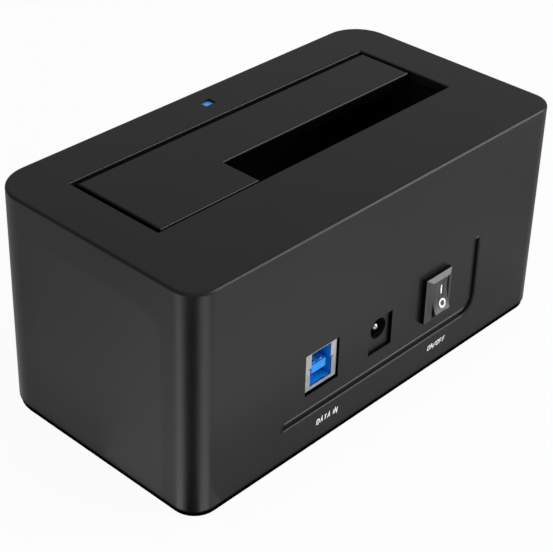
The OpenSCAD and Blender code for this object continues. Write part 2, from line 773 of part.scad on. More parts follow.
// The flap over the bay: an L-shaped plate that leaves the small slot open, hinged along its front edge.
module drive_flap() {
    barrels = [[-barrel_x, -pocket_x[1]], [-pocket_x[0], pocket_x[0]], [pocket_x[1], barrel_x]];
    color(case_black) difference() {
        union() {
            difference() {
                block([-flap_x, flap_y0, flap_z], [flap_x, flap_y1, z_top]);
                block([-flap_x - over, flap_slot_y, flap_z - over],
                    [flap_slot_x, flap_y1 + over, z_top + over]);
                flap_edge_x(-flap_x - over, flap_x + over, flap_y0, -1, flap_front_r);
                flap_edge_x(-flap_x - over, flap_slot_x, flap_slot_y, 1, flap_edge_r);
                flap_edge_x(flap_slot_x, flap_x + over, flap_y1, 1, flap_edge_r);
                flap_edge_y(flap_x, flap_y0 - over, flap_y1 + over, 1, flap_edge_r);
                flap_edge_y(-flap_x, flap_y0 - over, flap_slot_y + over, -1, flap_edge_r);
                flap_edge_y(flap_slot_x, flap_slot_y, flap_y1 + over, -1, flap_edge_r);
            }
            block([-flap_x, flap_slot_y - skirt_t, flap_z - skirt_h],
                [flap_slot_x + skirt_t, flap_slot_y, flap_z + flap_t / 2]);
            block([flap_slot_x, flap_slot_y - skirt_t, flap_z - skirt_h],
                [flap_slot_x + skirt_t, flap_y1, flap_z + flap_t / 2]);
            for (b = barrels) {
                translate([b[0], hinge_y, hinge_z]) rod_x(barrel_r, b[1] - b[0]);
                translate([(b[0] + b[1]) / 2, 0, 0]) across(b[1] - b[0]) arm_outline();
            }
            for (x = tab_spots) {
                z1 = z_ceiling - tab_gap;
                block([x - tab_w / 2, tab_y0, z1 - tab_h], [x + tab_w / 2, tab_y1, z1]);
                block([x - tab_w / 2, tab_y0, z1 - tab_h],
                    [x + tab_w / 2, tab_y0 + tab_neck, flap_z + flap_t / 2]);
            }
        }
        translate([-barrel_x - over, hinge_y, hinge_z])
            rod_x(rod_d / 2 + rod_clearance, 2 * (barrel_x + over));
    }
}

// The steel rod that the flap turns on, held in the well's end walls.
module hinge_rod() {
    x = well_x + well_wall;
    color(metal) translate([-x, hinge_y, hinge_z]) rod_x(rod_d / 2, 2 * x);
}

function unit(v) = v / norm(v);

// The direction of a path at one of its points.
function heading(path, i) = unit(path[min(i + 1, len(path) - 1)] - path[max(i - 1, 0)]);

// A ring of points square to a path that nowhere runs along x.
function ring(path, i, r) =
    let (t = heading(path, i), a = unit(cross(t, [1, 0, 0])), b = cross(t, a))
    [for (j = [0:tube_sides - 1]) let (turn = 360 * j / tube_sides)
        path[i] + r * (cos(turn) * a + sin(turn) * b)];

// A closed tube along a path.
module tube(path, d) {
    n = tube_sides;
    last = len(path) - 1;
    points = [for (i = [0:last]) each ring(path, i, d / 2)];
    sides = [for (i = [0:last - 1], j = [0:n - 1])
        let (a = i * n + j, b = i * n + (j + 1) % n)
        each [[a, a + n, b + n], [a, b + n, b]]];
    ends = [for (j = [1:n - 2]) each [[0, j, j + 1], [last * n, last * n + j + 1, last * n + j]]];
    polyhedron(points, concat(sides, ends));
}

// A helix along +x from the origin, turning from one angle back through a number of turns.
function helix(r, pitch, turns, from) =
    [for (i = [0:round(turns * coil_rings)])
        let (turn = i / coil_rings, angle = from - 360 * turn)
        [pitch * turn, r * cos(angle), r * sin(angle)]];

// A flap spring's path, from the leg on the front wall to the leg under the flap.
spring_helix = helix(coil_r, coil_pitch, spring_turns + coil_end_turn, 180);
spring_wall_y = well_y0 - hinge_y + spring_wire_d / 2 + leg_gap;
spring_flap_z = flap_z - hinge_z - spring_wire_d / 2 - leg_gap;
spring_end_x = coil_pitch * (spring_turns + coil_end_turn);
spring_path = concat(
    [[0, spring_wall_y, -leg_len], [0, (spring_wall_y - coil_r) / 2, -leg_len / 2]],
    spring_helix,
    [[spring_end_x, leg_len / 2, (coil_r + spring_flap_z) / 2], [spring_end_x, leg_len, spring_flap_z]]);

// The detent spring's path, in a frame whose x runs out along the plunger.
detent_r = plunger_r - detent_wire_d / 2;
detent_path = helix(detent_r, detent_pitch, detent_turns, 180);

// The least distance between two points of a coil that lie at least most of a turn apart, less the wire.
function least_gap(path, wire) = min([for (i = [0:len(path) - 1], j = [i + coil_rings - 1:1:len(path) - 1])
    norm(path[j] - path[i])]) - wire;
echo(flap_spring_least_gap = least_gap(spring_helix, spring_wire_d));
echo(detent_spring_least_gap = least_gap(detent_path, detent_wire_d));

// Two torsion springs round the rod push the flap shut.
module flap_springs() {
    color(metal) for (x = spring_x) translate([x, hinge_y, hinge_z]) tube(spring_path, spring_wire_d);
}

// The circuit board on its four posts.
module main_board() {
    color("#1f5c3a") difference() {
        block([board_x - board_w / 2, board_y0, board_z], [board_x + board_w / 2, board_y1, board_top]);
        for (p = board_spots) translate([p.x, p.y, board_z - over])
            cylinder(d = screw_core_d + 2 * screw_pass_gap, h = board_t + 2 * over);
    }
}

// Four screws hold the board on its posts.
module board_screws() {
    color(metal) for (p = board_spots) translate([p.x, p.y, board_top]) mirror([0, 0, 1])
        screw(screw_core_d, board_t + board_screw_grip);
}

// The drive connector's plastic body, which stands on the board and comes up through the well's floor.
module sata_housing() {
    color(inner_black) translate([sata_x, sata_y, board_top]) difference() {
        block([-sata_w / 2, -sata_d / 2, 0], [sata_w / 2, sata_d / 2, sata_h]);
        for (s = sata_slots) {
            block([s[0], -sata_slot_d / 2, sata_h - sata_slot_depth],
                [s[0] + s[1], sata_slot_d / 2, sata_h + over]);
            block([s[0], -sata_slot_d / 2 - sata_key, sata_h - sata_slot_depth],
                [s[0] + sata_key, 0, sata_h + over]);
        }
    }
}

// The drive connector's contacts, along one wall of each slot.
module sata_contacts() {
    color(brass) translate([sata_x, sata_y, board_top + sata_h - sata_slot_depth])
        for (s = sata_slots, i = [0:s[2] - 1])
            translate([s[0] + s[1] / 2 + (i - (s[2] - 1) / 2) * sata_pitch - sata_contact.x / 2,
                sata_slot_d / 2 - sata_contact.y, 0]) cube(sata_contact);
}

// A local frame at the middle of the data port's front, with the depth along -y.
module at_usb() {
    translate([usb_x, usb_y, usb_z]) children();
}

// The data port's mouth, from one depth to another: a wide chamber below and a narrower one above it.
module usb_mouth(y0, y1, top) {
    block([-usb_lower_w / 2, y0, usb_low_z], [usb_lower_w / 2, y1, usb_step_z]);
    block([-usb_upper_w / 2, y0, usb_step_z - over], [usb_upper_w / 2, y1, top]);
}

// The data port's folded metal shell: a box with a lip round its mouth, a notch at each end of the mouth's
// step and a stand under its rear.
module usb_shell() {
    notch_x = usb_lower_w / 2 + usb_notch.x;
    color(metal) at_usb() difference() {
        union() {
            block([-usb_w / 2, -usb_depth, -usb_h / 2], [usb_w / 2, 0, usb_h / 2]);
            block([-usb_w / 2, -usb_depth, -usb_h / 2 - usb_stand],
                [usb_w / 2, -usb_depth * (1 - usb_stand_share), usb_wall / 2 - usb_h / 2]);
        }
        block([-usb_in_w, usb_wall - usb_depth, -usb_in_h], [usb_in_w, -usb_lip_t, usb_in_h]);
        usb_mouth(-usb_lip_t - over, over, usb_in_h);
        block([-notch_x, -usb_lip_t - over, usb_step_z - usb_notch.y / 2],
            [notch_x, over, usb_step_z + usb_notch.y / 2]);
    }
}

// The data port's plastic lining, with its tongue in the lower chamber and a narrower chamber above.
module usb_insulator() {
    color("#1f6fd6") at_usb() {
        difference() {
            block([-usb_in_w, usb_wall - usb_depth, -usb_in_h], [usb_in_w, -usb_lip_t, usb_in_h]);
            usb_mouth(usb_floor_y, over, usb_in_h - usb_liner);
        }
        block([-usb_tongue_w / 2, usb_floor_y - over, usb_tongue_z - usb_tongue_h / 2],
            [usb_tongue_w / 2, -usb_tongue_sink, usb_tongue_z + usb_tongue_h / 2]);
    }
}

// The data port's contacts: two above and two below the tongue, and five under the upper chamber's ceiling.
module usb_contacts() {
    y1 = -usb_tongue_sink - usb_contact_sink;
    color(brass) at_usb() {
        for (sx = [-1, 1], sz = [-1, 1])
            translate([sx * usb_tongue_w / 4, 0, usb_tongue_z + sz * (usb_tongue_h + usb_contact_t) / 2])
                block([-usb_contact_w / 2, usb_floor_y, -usb_contact_t / 2],
                    [usb_contact_w / 2, y1, usb_contact_t / 2]);
        for (i = [1:usb_upper_count])
            translate([i * usb_upper_pitch - usb_upper_w / 2, 0, usb_in_h - usb_liner - usb_contact_t])
                block([-usb_contact_w / 4, usb_floor_y, 0], [usb_contact_w / 4, y1, usb_contact_t]);
    }
}

// A local frame at the middle of the power jack's hole, on the jack's front face.
module at_dc() {
    translate([dc_x, dc_y, dc_axis_z]) children();
}

// The power jack's body with its round hole and a groove for the side contact.
module dc_jack_body() {
    low = board_top - dc_axis_z;
    r = dc_hole_d / 2;
    color(case_black) at_dc() difference() {
        block([-dc_w / 2, -dc_depth, low], [dc_w / 2, 0, low + dc_h]);
        translate([0, -dc_hole_depth, 0]) rod_y(r, dc_hole_depth + over);
        block([-dc_leaf_w / 2, -dc_hole_depth, -r - dc_leaf_t], [dc_leaf_w / 2, -dc_leaf_sink, 0]);
    }
}

// The power jack's centre pin with a domed tip.
module dc_center_pin() {
    r = dc_pin_d / 2;
    color(metal) at_dc() translate([0, -dc_hole_depth, 0]) {
        rod_y(r, dc_hole_depth - dc_pin_sink - r);
        translate([0, dc_hole_depth - dc_pin_sink - r, 0]) sphere(r);
    }
}

// The power jack's side contact, a strip in the groove below the hole.
module dc_side_contact() {
    r = dc_hole_d / 2;
    color(metal) at_dc() block([-dc_leaf_w / 2, -dc_hole_depth, -r - dc_leaf_t],
        [dc_leaf_w / 2, -dc_leaf_sink, -r]);
}

// A local frame at the rocker's pivot.
module at_pivot() {
    translate([switch_x, pivot_y, switch_z]) children();
}

// A bezel's section: half its outer and inner size along x, its height along y.
module bezel_section(outer, inner) {
    polygon([[-outer, 0], [outer, 0], [outer, bezel_rim], [inner, bezel_rim + bezel_bevel],
        [-inner, bezel_rim + bezel_bevel], [-outer, bezel_rim]]);
}

// The switch's housing: a bevelled bezel on the rear face and a box behind it, held by two clips.
module switch_housing() {
    top = bezel_rim + bezel_bevel;
    color(case_black) translate([switch_x, y_rear, switch_z]) difference() {
        union() {
            intersection() {
                linear_extrude(bezel_h, center = true) bezel_section(bezel_w / 2, cavity_w / 2 + bevel_lip);
                rotate([0, 90, 0]) linear_extrude(bezel_w, center = true)
                    bezel_section(bezel_h / 2, cavity_h / 2 + bevel_lip);
            }
            block([-housing_w / 2, -housing_depth, -housing_h / 2],
                [housing_w / 2, housing_root, housing_h / 2]);
            for (sz = [0, 1]) mirror([0, 0, sz]) translate([0, -wall_t, housing_h / 2]) across(clip_len)
                polygon([[0, -housing_root], [0, clip_h], [-clip_len, 0], [-clip_len, -housing_root]]);
        }
        block([-cavity_w / 2, housing_back - housing_depth, -cavity_h / 2],
            [cavity_w / 2, top + over, cavity_h / 2]);
        translate([-housing_w / 2 - over, -pivot_depth, 0])
            rod_x(trunnion_d / 2 + trunnion_clearance, housing_w + 2 * over);
        for (z = [0, -contact_drop])
            block([-terminal_w / 2, -housing_depth - over, z - terminal_t / 2],
                [terminal_w / 2, housing_back - housing_depth + over, z + terminal_t / 2]);
    }
}

// The rocker's outline at the middle of its travel, in y and z from its pivot.
module rocker_outline() {
    difference() {
        polygon([[rocker_face, rocker_end], [0, rocker_waist], [-rocker_root, tail_r],
            [-rocker_root, -tail_r], [0, -rocker_waist], [rocker_face, -rocker_end]]);
        translate([rocker_face - rocker_hollow + hollow_r, 0]) circle(hollow_r);
    }
}

// The rocker with its trunnions and the tail that holds the detent. At rest its upper half is pressed in.
module switch_rocker() {
    half = rocker_w / 2 + cavity_gap + trunnion_len;
    color(case_black) at_pivot() rotate([rocker_tilt, 0, 0]) difference() {
        union() {
            across(rocker_w) rocker_outline();
            translate([-half, 0, 0]) rod_x(trunnion_d / 2, 2 * half);
            translate([0, -tail_len, 0]) rod_y(tail_r, tail_len);
        }
        translate([0, -tail_len - over, 0]) rod_y(plunger_r + plunger_gap, tail_len + over - detent_stop);
    }
}

// The detent's plunger, in the rocker's tail.
module detent_plunger() {
    r = plunger_r;
    color("#e4e0d4") at_pivot() rotate([rocker_tilt, 0, 0]) {
        translate([0, r - plunger_reach, 0]) sphere(r);
        translate([0, r - plunger_reach, 0]) rod_y(r, plunger_stem);
    }
}

// The spring between the plunger and the rocker.
module detent_spring() {
    start = plunger_r - plunger_reach + plunger_stem + detent_wire_d / 2 + detent_end_gap;
    color(metal) at_pivot() rotate([rocker_tilt, 0, 0]) translate([0, start, 0]) rotate(90)
        tube(detent_path, detent_wire_d);
}

// The see-saw blade that the plunger tips from one side to the other, with a rolled ridge that it rocks on.
module contact_blade() {
    color(brass) translate([switch_x, blade_y, switch_z]) rotate([blade_tilt, 0, 0]) {
        block([-blade_w / 2, 0, -blade_h / 2], [blade_w / 2, blade_t, blade_h / 2]);
        translate([-blade_w / 2, 0, 0]) rod_x(ridge_r, blade_w);
    }
}

// The switch's two terminals: the blade's fulcrum in the middle and the contact below it.
module switch_terminals() {
    color(brass) translate([switch_x, 0, switch_z]) {
        block([-terminal_w / 2, terminal_y, -terminal_t / 2],
            [terminal_w / 2, blade_y - ridge_r - blade_gap, terminal_t / 2]);
        translate([0, 0, -contact_drop]) {
            block([-terminal_w / 2, terminal_y, -terminal_t / 2],
                [terminal_w / 2, blade_y - contact_gap, terminal_t / 2]);
            block([-terminal_w / 2, blade_y - contact_gap - blade_t, -terminal_t / 2],
                [terminal_w / 2, blade_y - contact_gap, terminal_pad - terminal_t / 2]);
        }
    }
}

// One wire from a terminal's end, forward, round a bend and down to the board.
module wire(x, z) {
    translate([x, terminal_y, z]) {
        translate([0, -wire_lead, 0]) rod_y(wire_d / 2, wire_lead);
        translate([0, -wire_lead, -wire_bend]) rotate([90, 0, 90])
            rotate(90) rotate_extrude(angle = 90) translate([wire_bend, 0]) circle(d = wire_d);
        translate([0, -wire_lead - wire_bend, board_top - z])
            cylinder(d = wire_d, h = z - board_top - wire_bend);
    }
}

// The two short wires from the switch to the board.
module switch_wires() {
    color("#b3221e") {
        wire(switch_x + wire_offset, switch_z);
        wire(switch_x - wire_offset, switch_z - contact_drop);
    }
}

// The indicator's light chip on the board.
module status_led() {
    color("#e9f2ff") translate([-led_chip.x / 2, led_y - led_chip.y / 2, board_top]) cube(led_chip);
}

// The light pipe hangs in the window in the top by its flange and reaches down to the light chip.
module light_pipe() {
    z0 = board_top + led_chip.z + pipe_air;
    z1 = z_ceiling - pipe_flange_t;
    color("#2f7cff") translate([0, led_y, 0]) {
        translate([0, 0, z0]) cylinder(r = pipe_r, h = z1 - z0);
        block([-pipe_flange_w / 2, -led_d / 2, z1], [pipe_flange_w / 2, led_d / 2, z_ceiling]);
        block([-led_w / 2, -led_d / 2, z1], [led_w / 2, led_d / 2, z_top - led_recess]);
    }
}

// A place on the board, from the casing's middle and from the rear face.
module on_board(spot) {
    translate([spot.x, y_rear - spot.y, board_top]) children();
}

// A chip with a row of leads along two or four of its sides.
module leaded_chip(size, leads, pitch, sides) {
    translate([-size / 2, -size / 2, lead_t]) cube([size, size, chip_h]);
    for (side = sides, i = [0:leads - 1]) rotate(side)
        translate([size / 2 - lead_len / 4, (i - (leads - 1) / 2) * pitch - pitch / 4, 0])
            cube([lead_len, pitch / 2, 2 * lead_t]);
}

// The bridge controller between the data port and the drive.
module controller_chip() {
    color(chip_black) on_board(controller_spot) leaded_chip(controller_w, controller_leads, controller_pitch,
        [0, 90, 180, 270]);
}

// The controller's memory.
module flash_chip() {
    color(chip_black) on_board(flash_spot) leaded_chip(flash_w, flash_leads, flash_pitch, [0, 180]);
}

// The voltage regulator.
module regulator_chip() {
    color(chip_black) on_board(regulator_spot) leaded_chip(regulator_w, regulator_leads, regulator_pitch,
        [90, 270]);
}

// The regulator's inductor: a square ferrite block with a round winding window.
module power_inductor() {
    w = inductor_w / 2;
    color("#3a3a3c") on_board(inductor_spot) difference() {
        block([-w, -w, 0], [w, w, inductor_h]);
        translate([0, 0, inductor_h - inductor_dish])
            cylinder(r = w - inductor_rim, h = inductor_dish + over);
    }
}

// The electrolytic capacitors, each a can with a rolled neck.
module electrolytic_capacitors() {
    r = capacitor_d / 2;
    n = capacitor_neck;
    z = capacitor_neck_z;
    h = capacitor_h;
    color("#8f9aa6") for (p = capacitor_spots) on_board(p) rotate_extrude()
        polygon([[0, 0], [r, 0], [r, z - n], [r - n, z], [r, z + n], [r, h - n], [r - n, h], [0, h]]);
}

// The crystal in its metal can.
module crystal_can() {
    r = crystal_d / 2;
    x = crystal_w / 2 - r;
    color(metal) on_board(crystal_spot) {
        block([-x, -r, 0], [x, r, crystal_h]);
        for (sx = [-1, 1]) translate([sx * x, 0, 0]) cylinder(r = r, h = crystal_h);
    }
}

// Rows of small ceramic parts on the board.
module ceramic_passives() {
    color("#b89b72") for (p = passive_rows, i = [0:passive_count - 1]) on_board(p)
        translate([0, (i - (passive_count - 1) / 2) * passive_pitch, 0])
            translate([-passive_size.x / 2, -passive_size.y / 2, 0]) cube(passive_size);
}

in_frame() main_shell();
in_frame() base_plate();
in_frame() base_screws();
in_frame() rubber_feet();
in_frame() drive_well();
in_frame() well_screws();
in_frame() drive_flap();
in_frame() hinge_rod();
in_frame() flap_springs();
in_frame() main_board();
in_frame() board_screws();
in_frame() sata_housing();
in_frame() sata_contacts();
in_frame() usb_shell();
in_frame() usb_insulator();
in_frame() usb_contacts();
in_frame() dc_jack_body();
in_frame() dc_center_pin();
in_frame() dc_side_contact();
in_frame() switch_housing();
in_frame() switch_rocker();
in_frame() detent_plunger();
in_frame() detent_spring();
in_frame() contact_blade();
in_frame() switch_terminals();
in_frame() switch_wires();
in_frame() status_led();
in_frame() light_pipe();
in_frame() controller_chip();
in_frame() flash_chip();
in_frame() regulator_chip();
in_frame() power_inductor();
in_frame() electrolytic_capacitors();
in_frame() crystal_can();
in_frame() ceramic_passives();
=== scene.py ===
"""Dresses a packed hard drive docking station: its finishes, printed marks, springs and studio.

Sizes in the classes are millimetres in the casing's own frame, as in the part's source: x and y from the
casing's middle, z from the desk, +X along the length, +Y out of the rear face. `in_part` takes such points
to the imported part's frame, in metres. The studio's lamps, floor and clipping are given in metres.
"""

import logging
import math
from dataclasses import dataclass, replace
from enum import Enum
from typing import Any, ClassVar, Protocol

import bmesh
import bpy
import numpy as np
from mathutils import Matrix


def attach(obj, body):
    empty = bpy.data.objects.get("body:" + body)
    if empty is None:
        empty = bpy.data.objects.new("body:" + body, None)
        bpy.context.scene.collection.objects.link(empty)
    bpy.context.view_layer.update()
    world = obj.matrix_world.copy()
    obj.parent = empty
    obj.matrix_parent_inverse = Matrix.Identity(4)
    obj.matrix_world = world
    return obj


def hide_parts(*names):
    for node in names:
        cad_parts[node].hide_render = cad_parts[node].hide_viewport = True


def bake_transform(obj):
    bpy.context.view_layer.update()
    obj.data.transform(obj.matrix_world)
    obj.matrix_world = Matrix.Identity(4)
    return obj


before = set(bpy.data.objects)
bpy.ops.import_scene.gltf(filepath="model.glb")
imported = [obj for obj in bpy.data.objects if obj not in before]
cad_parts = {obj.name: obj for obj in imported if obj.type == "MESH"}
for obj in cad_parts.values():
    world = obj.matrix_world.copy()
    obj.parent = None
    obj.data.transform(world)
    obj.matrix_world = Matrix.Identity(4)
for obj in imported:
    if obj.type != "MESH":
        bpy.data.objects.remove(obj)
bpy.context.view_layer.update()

MM = 0.001
CASING_SHIFT_Y = -1.632983  # the part's box takes in the rocker behind the rear face
LOG = logging.getLogger("dock")
NOISE_SPAN = (0.3, 0.7)  # most values of a noise texture lie between these
FACTOR, TONE_A, TONE_B, MIXED = 0, 6, 7, 2  # inputs of a Mix node for colours, and its output

Socket = bpy.types.NodeSocket
Node = bpy.types.Node
Tree = bpy.types.NodeTree
Material = bpy.types.Material
Object = bpy.types.Object
Points = np.ndarray
Pair = tuple[float, float]
Triple = tuple[float, float, float]


class Body(str, Enum):
    """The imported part's bodies that new pieces ride on."""

    CASING = "casing"
    FLAP = "flap"
    ROCKER = "rocker"


class Slot(str, Enum):
    """The record's material slots. No piece here takes one."""

    SPRING = "spring_steel"


def in_part(points: Points) -> Points:
    """Casing frame in mm to part frame in metres: a shift along y, then a change of unit.

    Args:
        points: array of points, its last axis x, y and z.

    Returns:
        The same points in metres in the part's frame.
    """
    return (np.asarray(points, float) + np.array([0.0, CASING_SHIFT_Y, 0.0])) * MM


def linear(colour: str) -> tuple[float, float, float, float]:
    """An sRGB hex colour as linear RGBA, by the sRGB curve.

    Args:
        colour: such as "#1f6fd6".

    Returns:
        Linear red, green and blue, and an alpha of 1.
    """
    srgb = np.array([int(colour[i : i + 2], 16) for i in (1, 3, 5)]) / 255
    rgb = np.where(srgb <= 0.04045, srgb / 12.92, ((srgb + 0.055) / 1.055) ** 2.4)
    return (*(float(c) for c in rgb), 1.0)


def per_metre(size_mm: float) -> float:
    """The texture scale whose features are about `size_mm` across on Object coordinates in metres."""
    return 1 / (size_mm * MM)


def feed(tree: Tree, node: Node, links: dict[str | int, Socket]) -> None:
    """Links outputs to a node's inputs.

    Args:
        tree: the node tree.
        node: the node to feed.
        links: input name or number to the output that feeds it.
    """
    for key, source in links.items():
        tree.links.new(source, node.inputs[key])


def add(
    tree: Tree,
    kind: str,
    links: dict[str | int, Socket] | None = None,
    sockets: dict[str | int, Any] | None = None,
    stops: list[tuple[float, Any]] | None = None,
    **settings: Any,
) -> Node:
    """Adds a node with its settings and links.

    Args:
        tree: the node tree.
        kind: Blender's name of the node type.
        links: input name or number to the output that feeds it.
        sockets: input name or number to its value.
        stops: positions and linear colours of a colour ramp.
        settings: the node's own properties.

    Returns:
        The new node.
    """
    node = tree.nodes.new(kind)
    for key, value in settings.items():
        setattr(node, key, value)
    for key, value in (sockets or {}).items():
        node.inputs[key].default_value = value
    feed(tree, node, links or {})
    if stops:
        ramp = node.color_ramp.elements
        while len(ramp) < len(stops):
            ramp.new(1.0)
        for element, (position, colour) in zip(ramp, stops):
            element.position = position
            element.color = colour
    return node


def start(name: str, **sockets: Any) -> tuple[Material, Tree, Node, Socket]:
    """An empty material with a Principled shader.

    Args:
        name: the material's name.
        sockets: the shader's own constants, with underscores for the spaces in their names.

    Returns:
        The material, its node tree, the shader and the Object coordinates.
    """
    material = bpy.data.materials.new(name)
    material.use_nodes = True
    tree = material.node_tree
    tree.nodes.clear()
    named = {key.replace("_", " "): value for key, value in sockets.items()}
    shader = add(tree, "ShaderNodeBsdfPrincipled", sockets=named)
    add(tree, "ShaderNodeOutputMaterial", {"Surface": shader.outputs[0]})
    return material, tree, shader, add(tree, "ShaderNodeTexCoord").outputs["Object"]


def surface(
    tree: Tree,
    shader: Node,
    colour: Socket,
    gloss: tuple[Socket, float, float],
    relief: tuple[Socket, float],
    span: Pair = (0.0, 1.0),
) -> None:
    """Feeds a shader its colour, a roughness that follows one pattern and a relief that follows another.

    Args:
        tree: the node tree.
        shader: the material's shader.
        colour: the base colour.
        gloss: the pattern behind the roughness, the mean roughness and how far it spreads.
        relief: the pattern behind the relief, and its height in mm.
        span: the values of the gloss pattern between which the roughness changes.
    """
    pattern, mean, spread = gloss
    limits = {"To Min": mean - spread / 2, "To Max": mean + spread / 2}
    limits |= {"From Min": span[0], "From Max": span[1]}
    rough = add(tree, "ShaderNodeMapRange", {"Value": pattern}, limits)
    height = {"Strength": 1.0, "Distance": relief[1] * MM}
    bump = add(tree, "ShaderNodeBump", {"Height": relief[0]}, height)
    sources = {"Base Color": colour, "Roughness": rough.outputs["Result"], "Normal": bump.outputs["Normal"]}
    feed(tree, shader, sources)


def drawn_lines(tree: Tree, place: Socket, line_mm: Triple, detail: float, roughness: float) -> Socket:
    """Noise that is drawn out into lines.

    Args:
        tree: the node tree.
        place: Object coordinates.
        line_mm: size of its features along x, y and z.
        detail: the noise's octaves.
        roughness: how strong the finer octaves are.

    Returns:
        The noise's value.
    """
    scale = {"Scale": tuple(per_metre(size) for size in line_mm)}
    stretched = add(tree, "ShaderNodeMapping", {"Vector": place}, scale)
    sizes = {"Scale": 1.0, "Detail": detail, "Roughness": roughness}
    return add(tree, "ShaderNodeTexNoise", {"Vector": stretched.outputs["Vector"]}, sizes).outputs["Fac"]


def nearness(tree: Tree, place: Socket, middle: Triple, reach_mm: float) -> Socket:
    """How near a place is to a point: 1 there, and evenly less down to 0 at the reach.

    Args:
        tree: the node tree.
        place: Object coordinates.
        middle: the point, in the casing's frame.
        reach_mm: the distance at which it is 0.

    Returns:
        The nearness.
    """
    where = {"Location": tuple(in_part(np.array(middle)).tolist()), "Scale": (reach_mm * MM,) * 3}
    centred = add(tree, "ShaderNodeMapping", {"Vector": place}, where, vector_type="TEXTURE")
    vector = {"Vector": centred.outputs["Vector"]}
    return add(tree, "ShaderNodeTexGradient", vector, gradient_type="SPHERICAL").outputs["Fac"]


class Finish(Protocol):
    """What every finish has."""

    @property
    def name(self) -> str:
        """The material's name."""

    def material(self) -> Material:
        """Builds the material."""


Finishes = dict[str, Finish]


@dataclass(frozen=True)
class PaintedLightZone:
    """A box with rounded edges, in the casing's frame, inside which a plastic's tone differs: painted light
    or shade.
    """

    low: Triple
    high: Triple
    colour: str
    specular: float | None = None
    corner: float = 0.2
    border: float = 0.2
    front_part: float = 1.0

    def mask(self, tree: Tree, place: Socket) -> Socket:
        """How much a place belongs to the zone.

        The distance from the box drawn in by its edges' radius, |max(|p - middle| - inner, 0)|, is that
        radius on the zone's surface. The mask rises to 1 over the border's width, times a share that grows
        along y from the front part to 1.

        Args:
            tree: the node tree.
            place: Object coordinates.

        Returns:
            0 outside, up to 1 inside.
        """
        box = in_part(np.array([self.low, self.high]))
        middle, zero = box.mean(0), np.zeros(3)
        inner = np.diff(box, axis=0)[0] / 2 - self.corner * MM
        away = place
        for operation, vector in (
            ("SUBTRACT", middle),
            ("ABSOLUTE", zero),
            ("SUBTRACT", inner),
            ("MAXIMUM", zero),
            ("LENGTH", zero),
        ):
            step = add(tree, "ShaderNodeVectorMath", {0: away}, {1: tuple(vector)}, operation=operation)
            away = step.outputs["Value" if operation == "LENGTH" else "Vector"]
        y = add(tree, "ShaderNodeSeparateXYZ", {"Vector": place}).outputs["Y"]
        edge = {"From Min": self.corner * MM, "From Max": (self.corner - self.border) * MM}
        along = {"From Min": box[0, 1], "From Max": box[1, 1], "To Min": self.front_part}
        inside, rise = (
            add(tree, "ShaderNodeMapRange", {"Value": source}, limits).outputs["Result"]
            for source, limits in ((away, edge), (y, along))
        )
        return add(tree, "ShaderNodeMath", {0: inside, 1: rise}, operation="MULTIPLY").outputs[0]


@dataclass(frozen=True)
class MouldedPlastic:
    """Moulded plastic or rubber: a spark-eroded grain, a faint mottle and a little uneven gloss."""

    name: str
    colour: str
    mottle: str
    roughness: float
    grain_mm: float = 0.5
    relief_mm: float = 0.004
    mottle_mm: float = 14.0
    gloss_spread: float = 0.05
    specular: float = 0.5
    ior: float = 1.5
    # Boxes of painted light or shade laid over the plastic's tone.
    painted_light_zones: tuple[PaintedLightZone, ...] = ()

    def material(self) -> Material:
        """Builds the material. Each zone lays its painted light or shade over the mottle, and sets the gloss
        where it has one.

        Returns:
            The material.
        """
        material, tree, shader, place = start(self.name, IOR=self.ior, Specular_IOR_Level=self.specular)
        sizes = {"Scale": per_metre(self.mottle_mm), "Detail": 3.0, "Roughness": 0.55}
        cloud = add(tree, "ShaderNodeTexNoise", {"Vector": place}, sizes).outputs["Fac"]
        stops = list(zip(NOISE_SPAN, (linear(self.colour), linear(self.mottle))))
        colour = add(tree, "ShaderNodeValToRGB", {"Fac": cloud}, stops=stops).outputs["Color"]
        for zone in self.painted_light_zones:
            mask = zone.mask(tree, place)
            sources, tone = {FACTOR: mask, TONE_A: colour}, {TONE_B: linear(zone.colour)}
            colour = add(tree, "ShaderNodeMix", sources, tone, data_type="RGBA").outputs[MIXED]
            if zone.specular is not None:
                limits = {"To Min": self.specular, "To Max": zone.specular}
                shine = add(tree, "ShaderNodeMapRange", {"Value": mask}, limits)
                feed(tree, shader, {"Specular IOR Level": shine.outputs["Result"]})
        sizes = {"Scale": per_metre(self.grain_mm), "Detail": 2.0, "Roughness": 0.6}
        grain = add(tree, "ShaderNodeTexNoise", {"Vector": place}, sizes).outputs["Fac"]
        gloss = (cloud, self.roughness, self.gloss_spread)
        surface(tree, shader, colour, gloss, (grain, self.relief_mm), NOISE_SPAN)
        return material


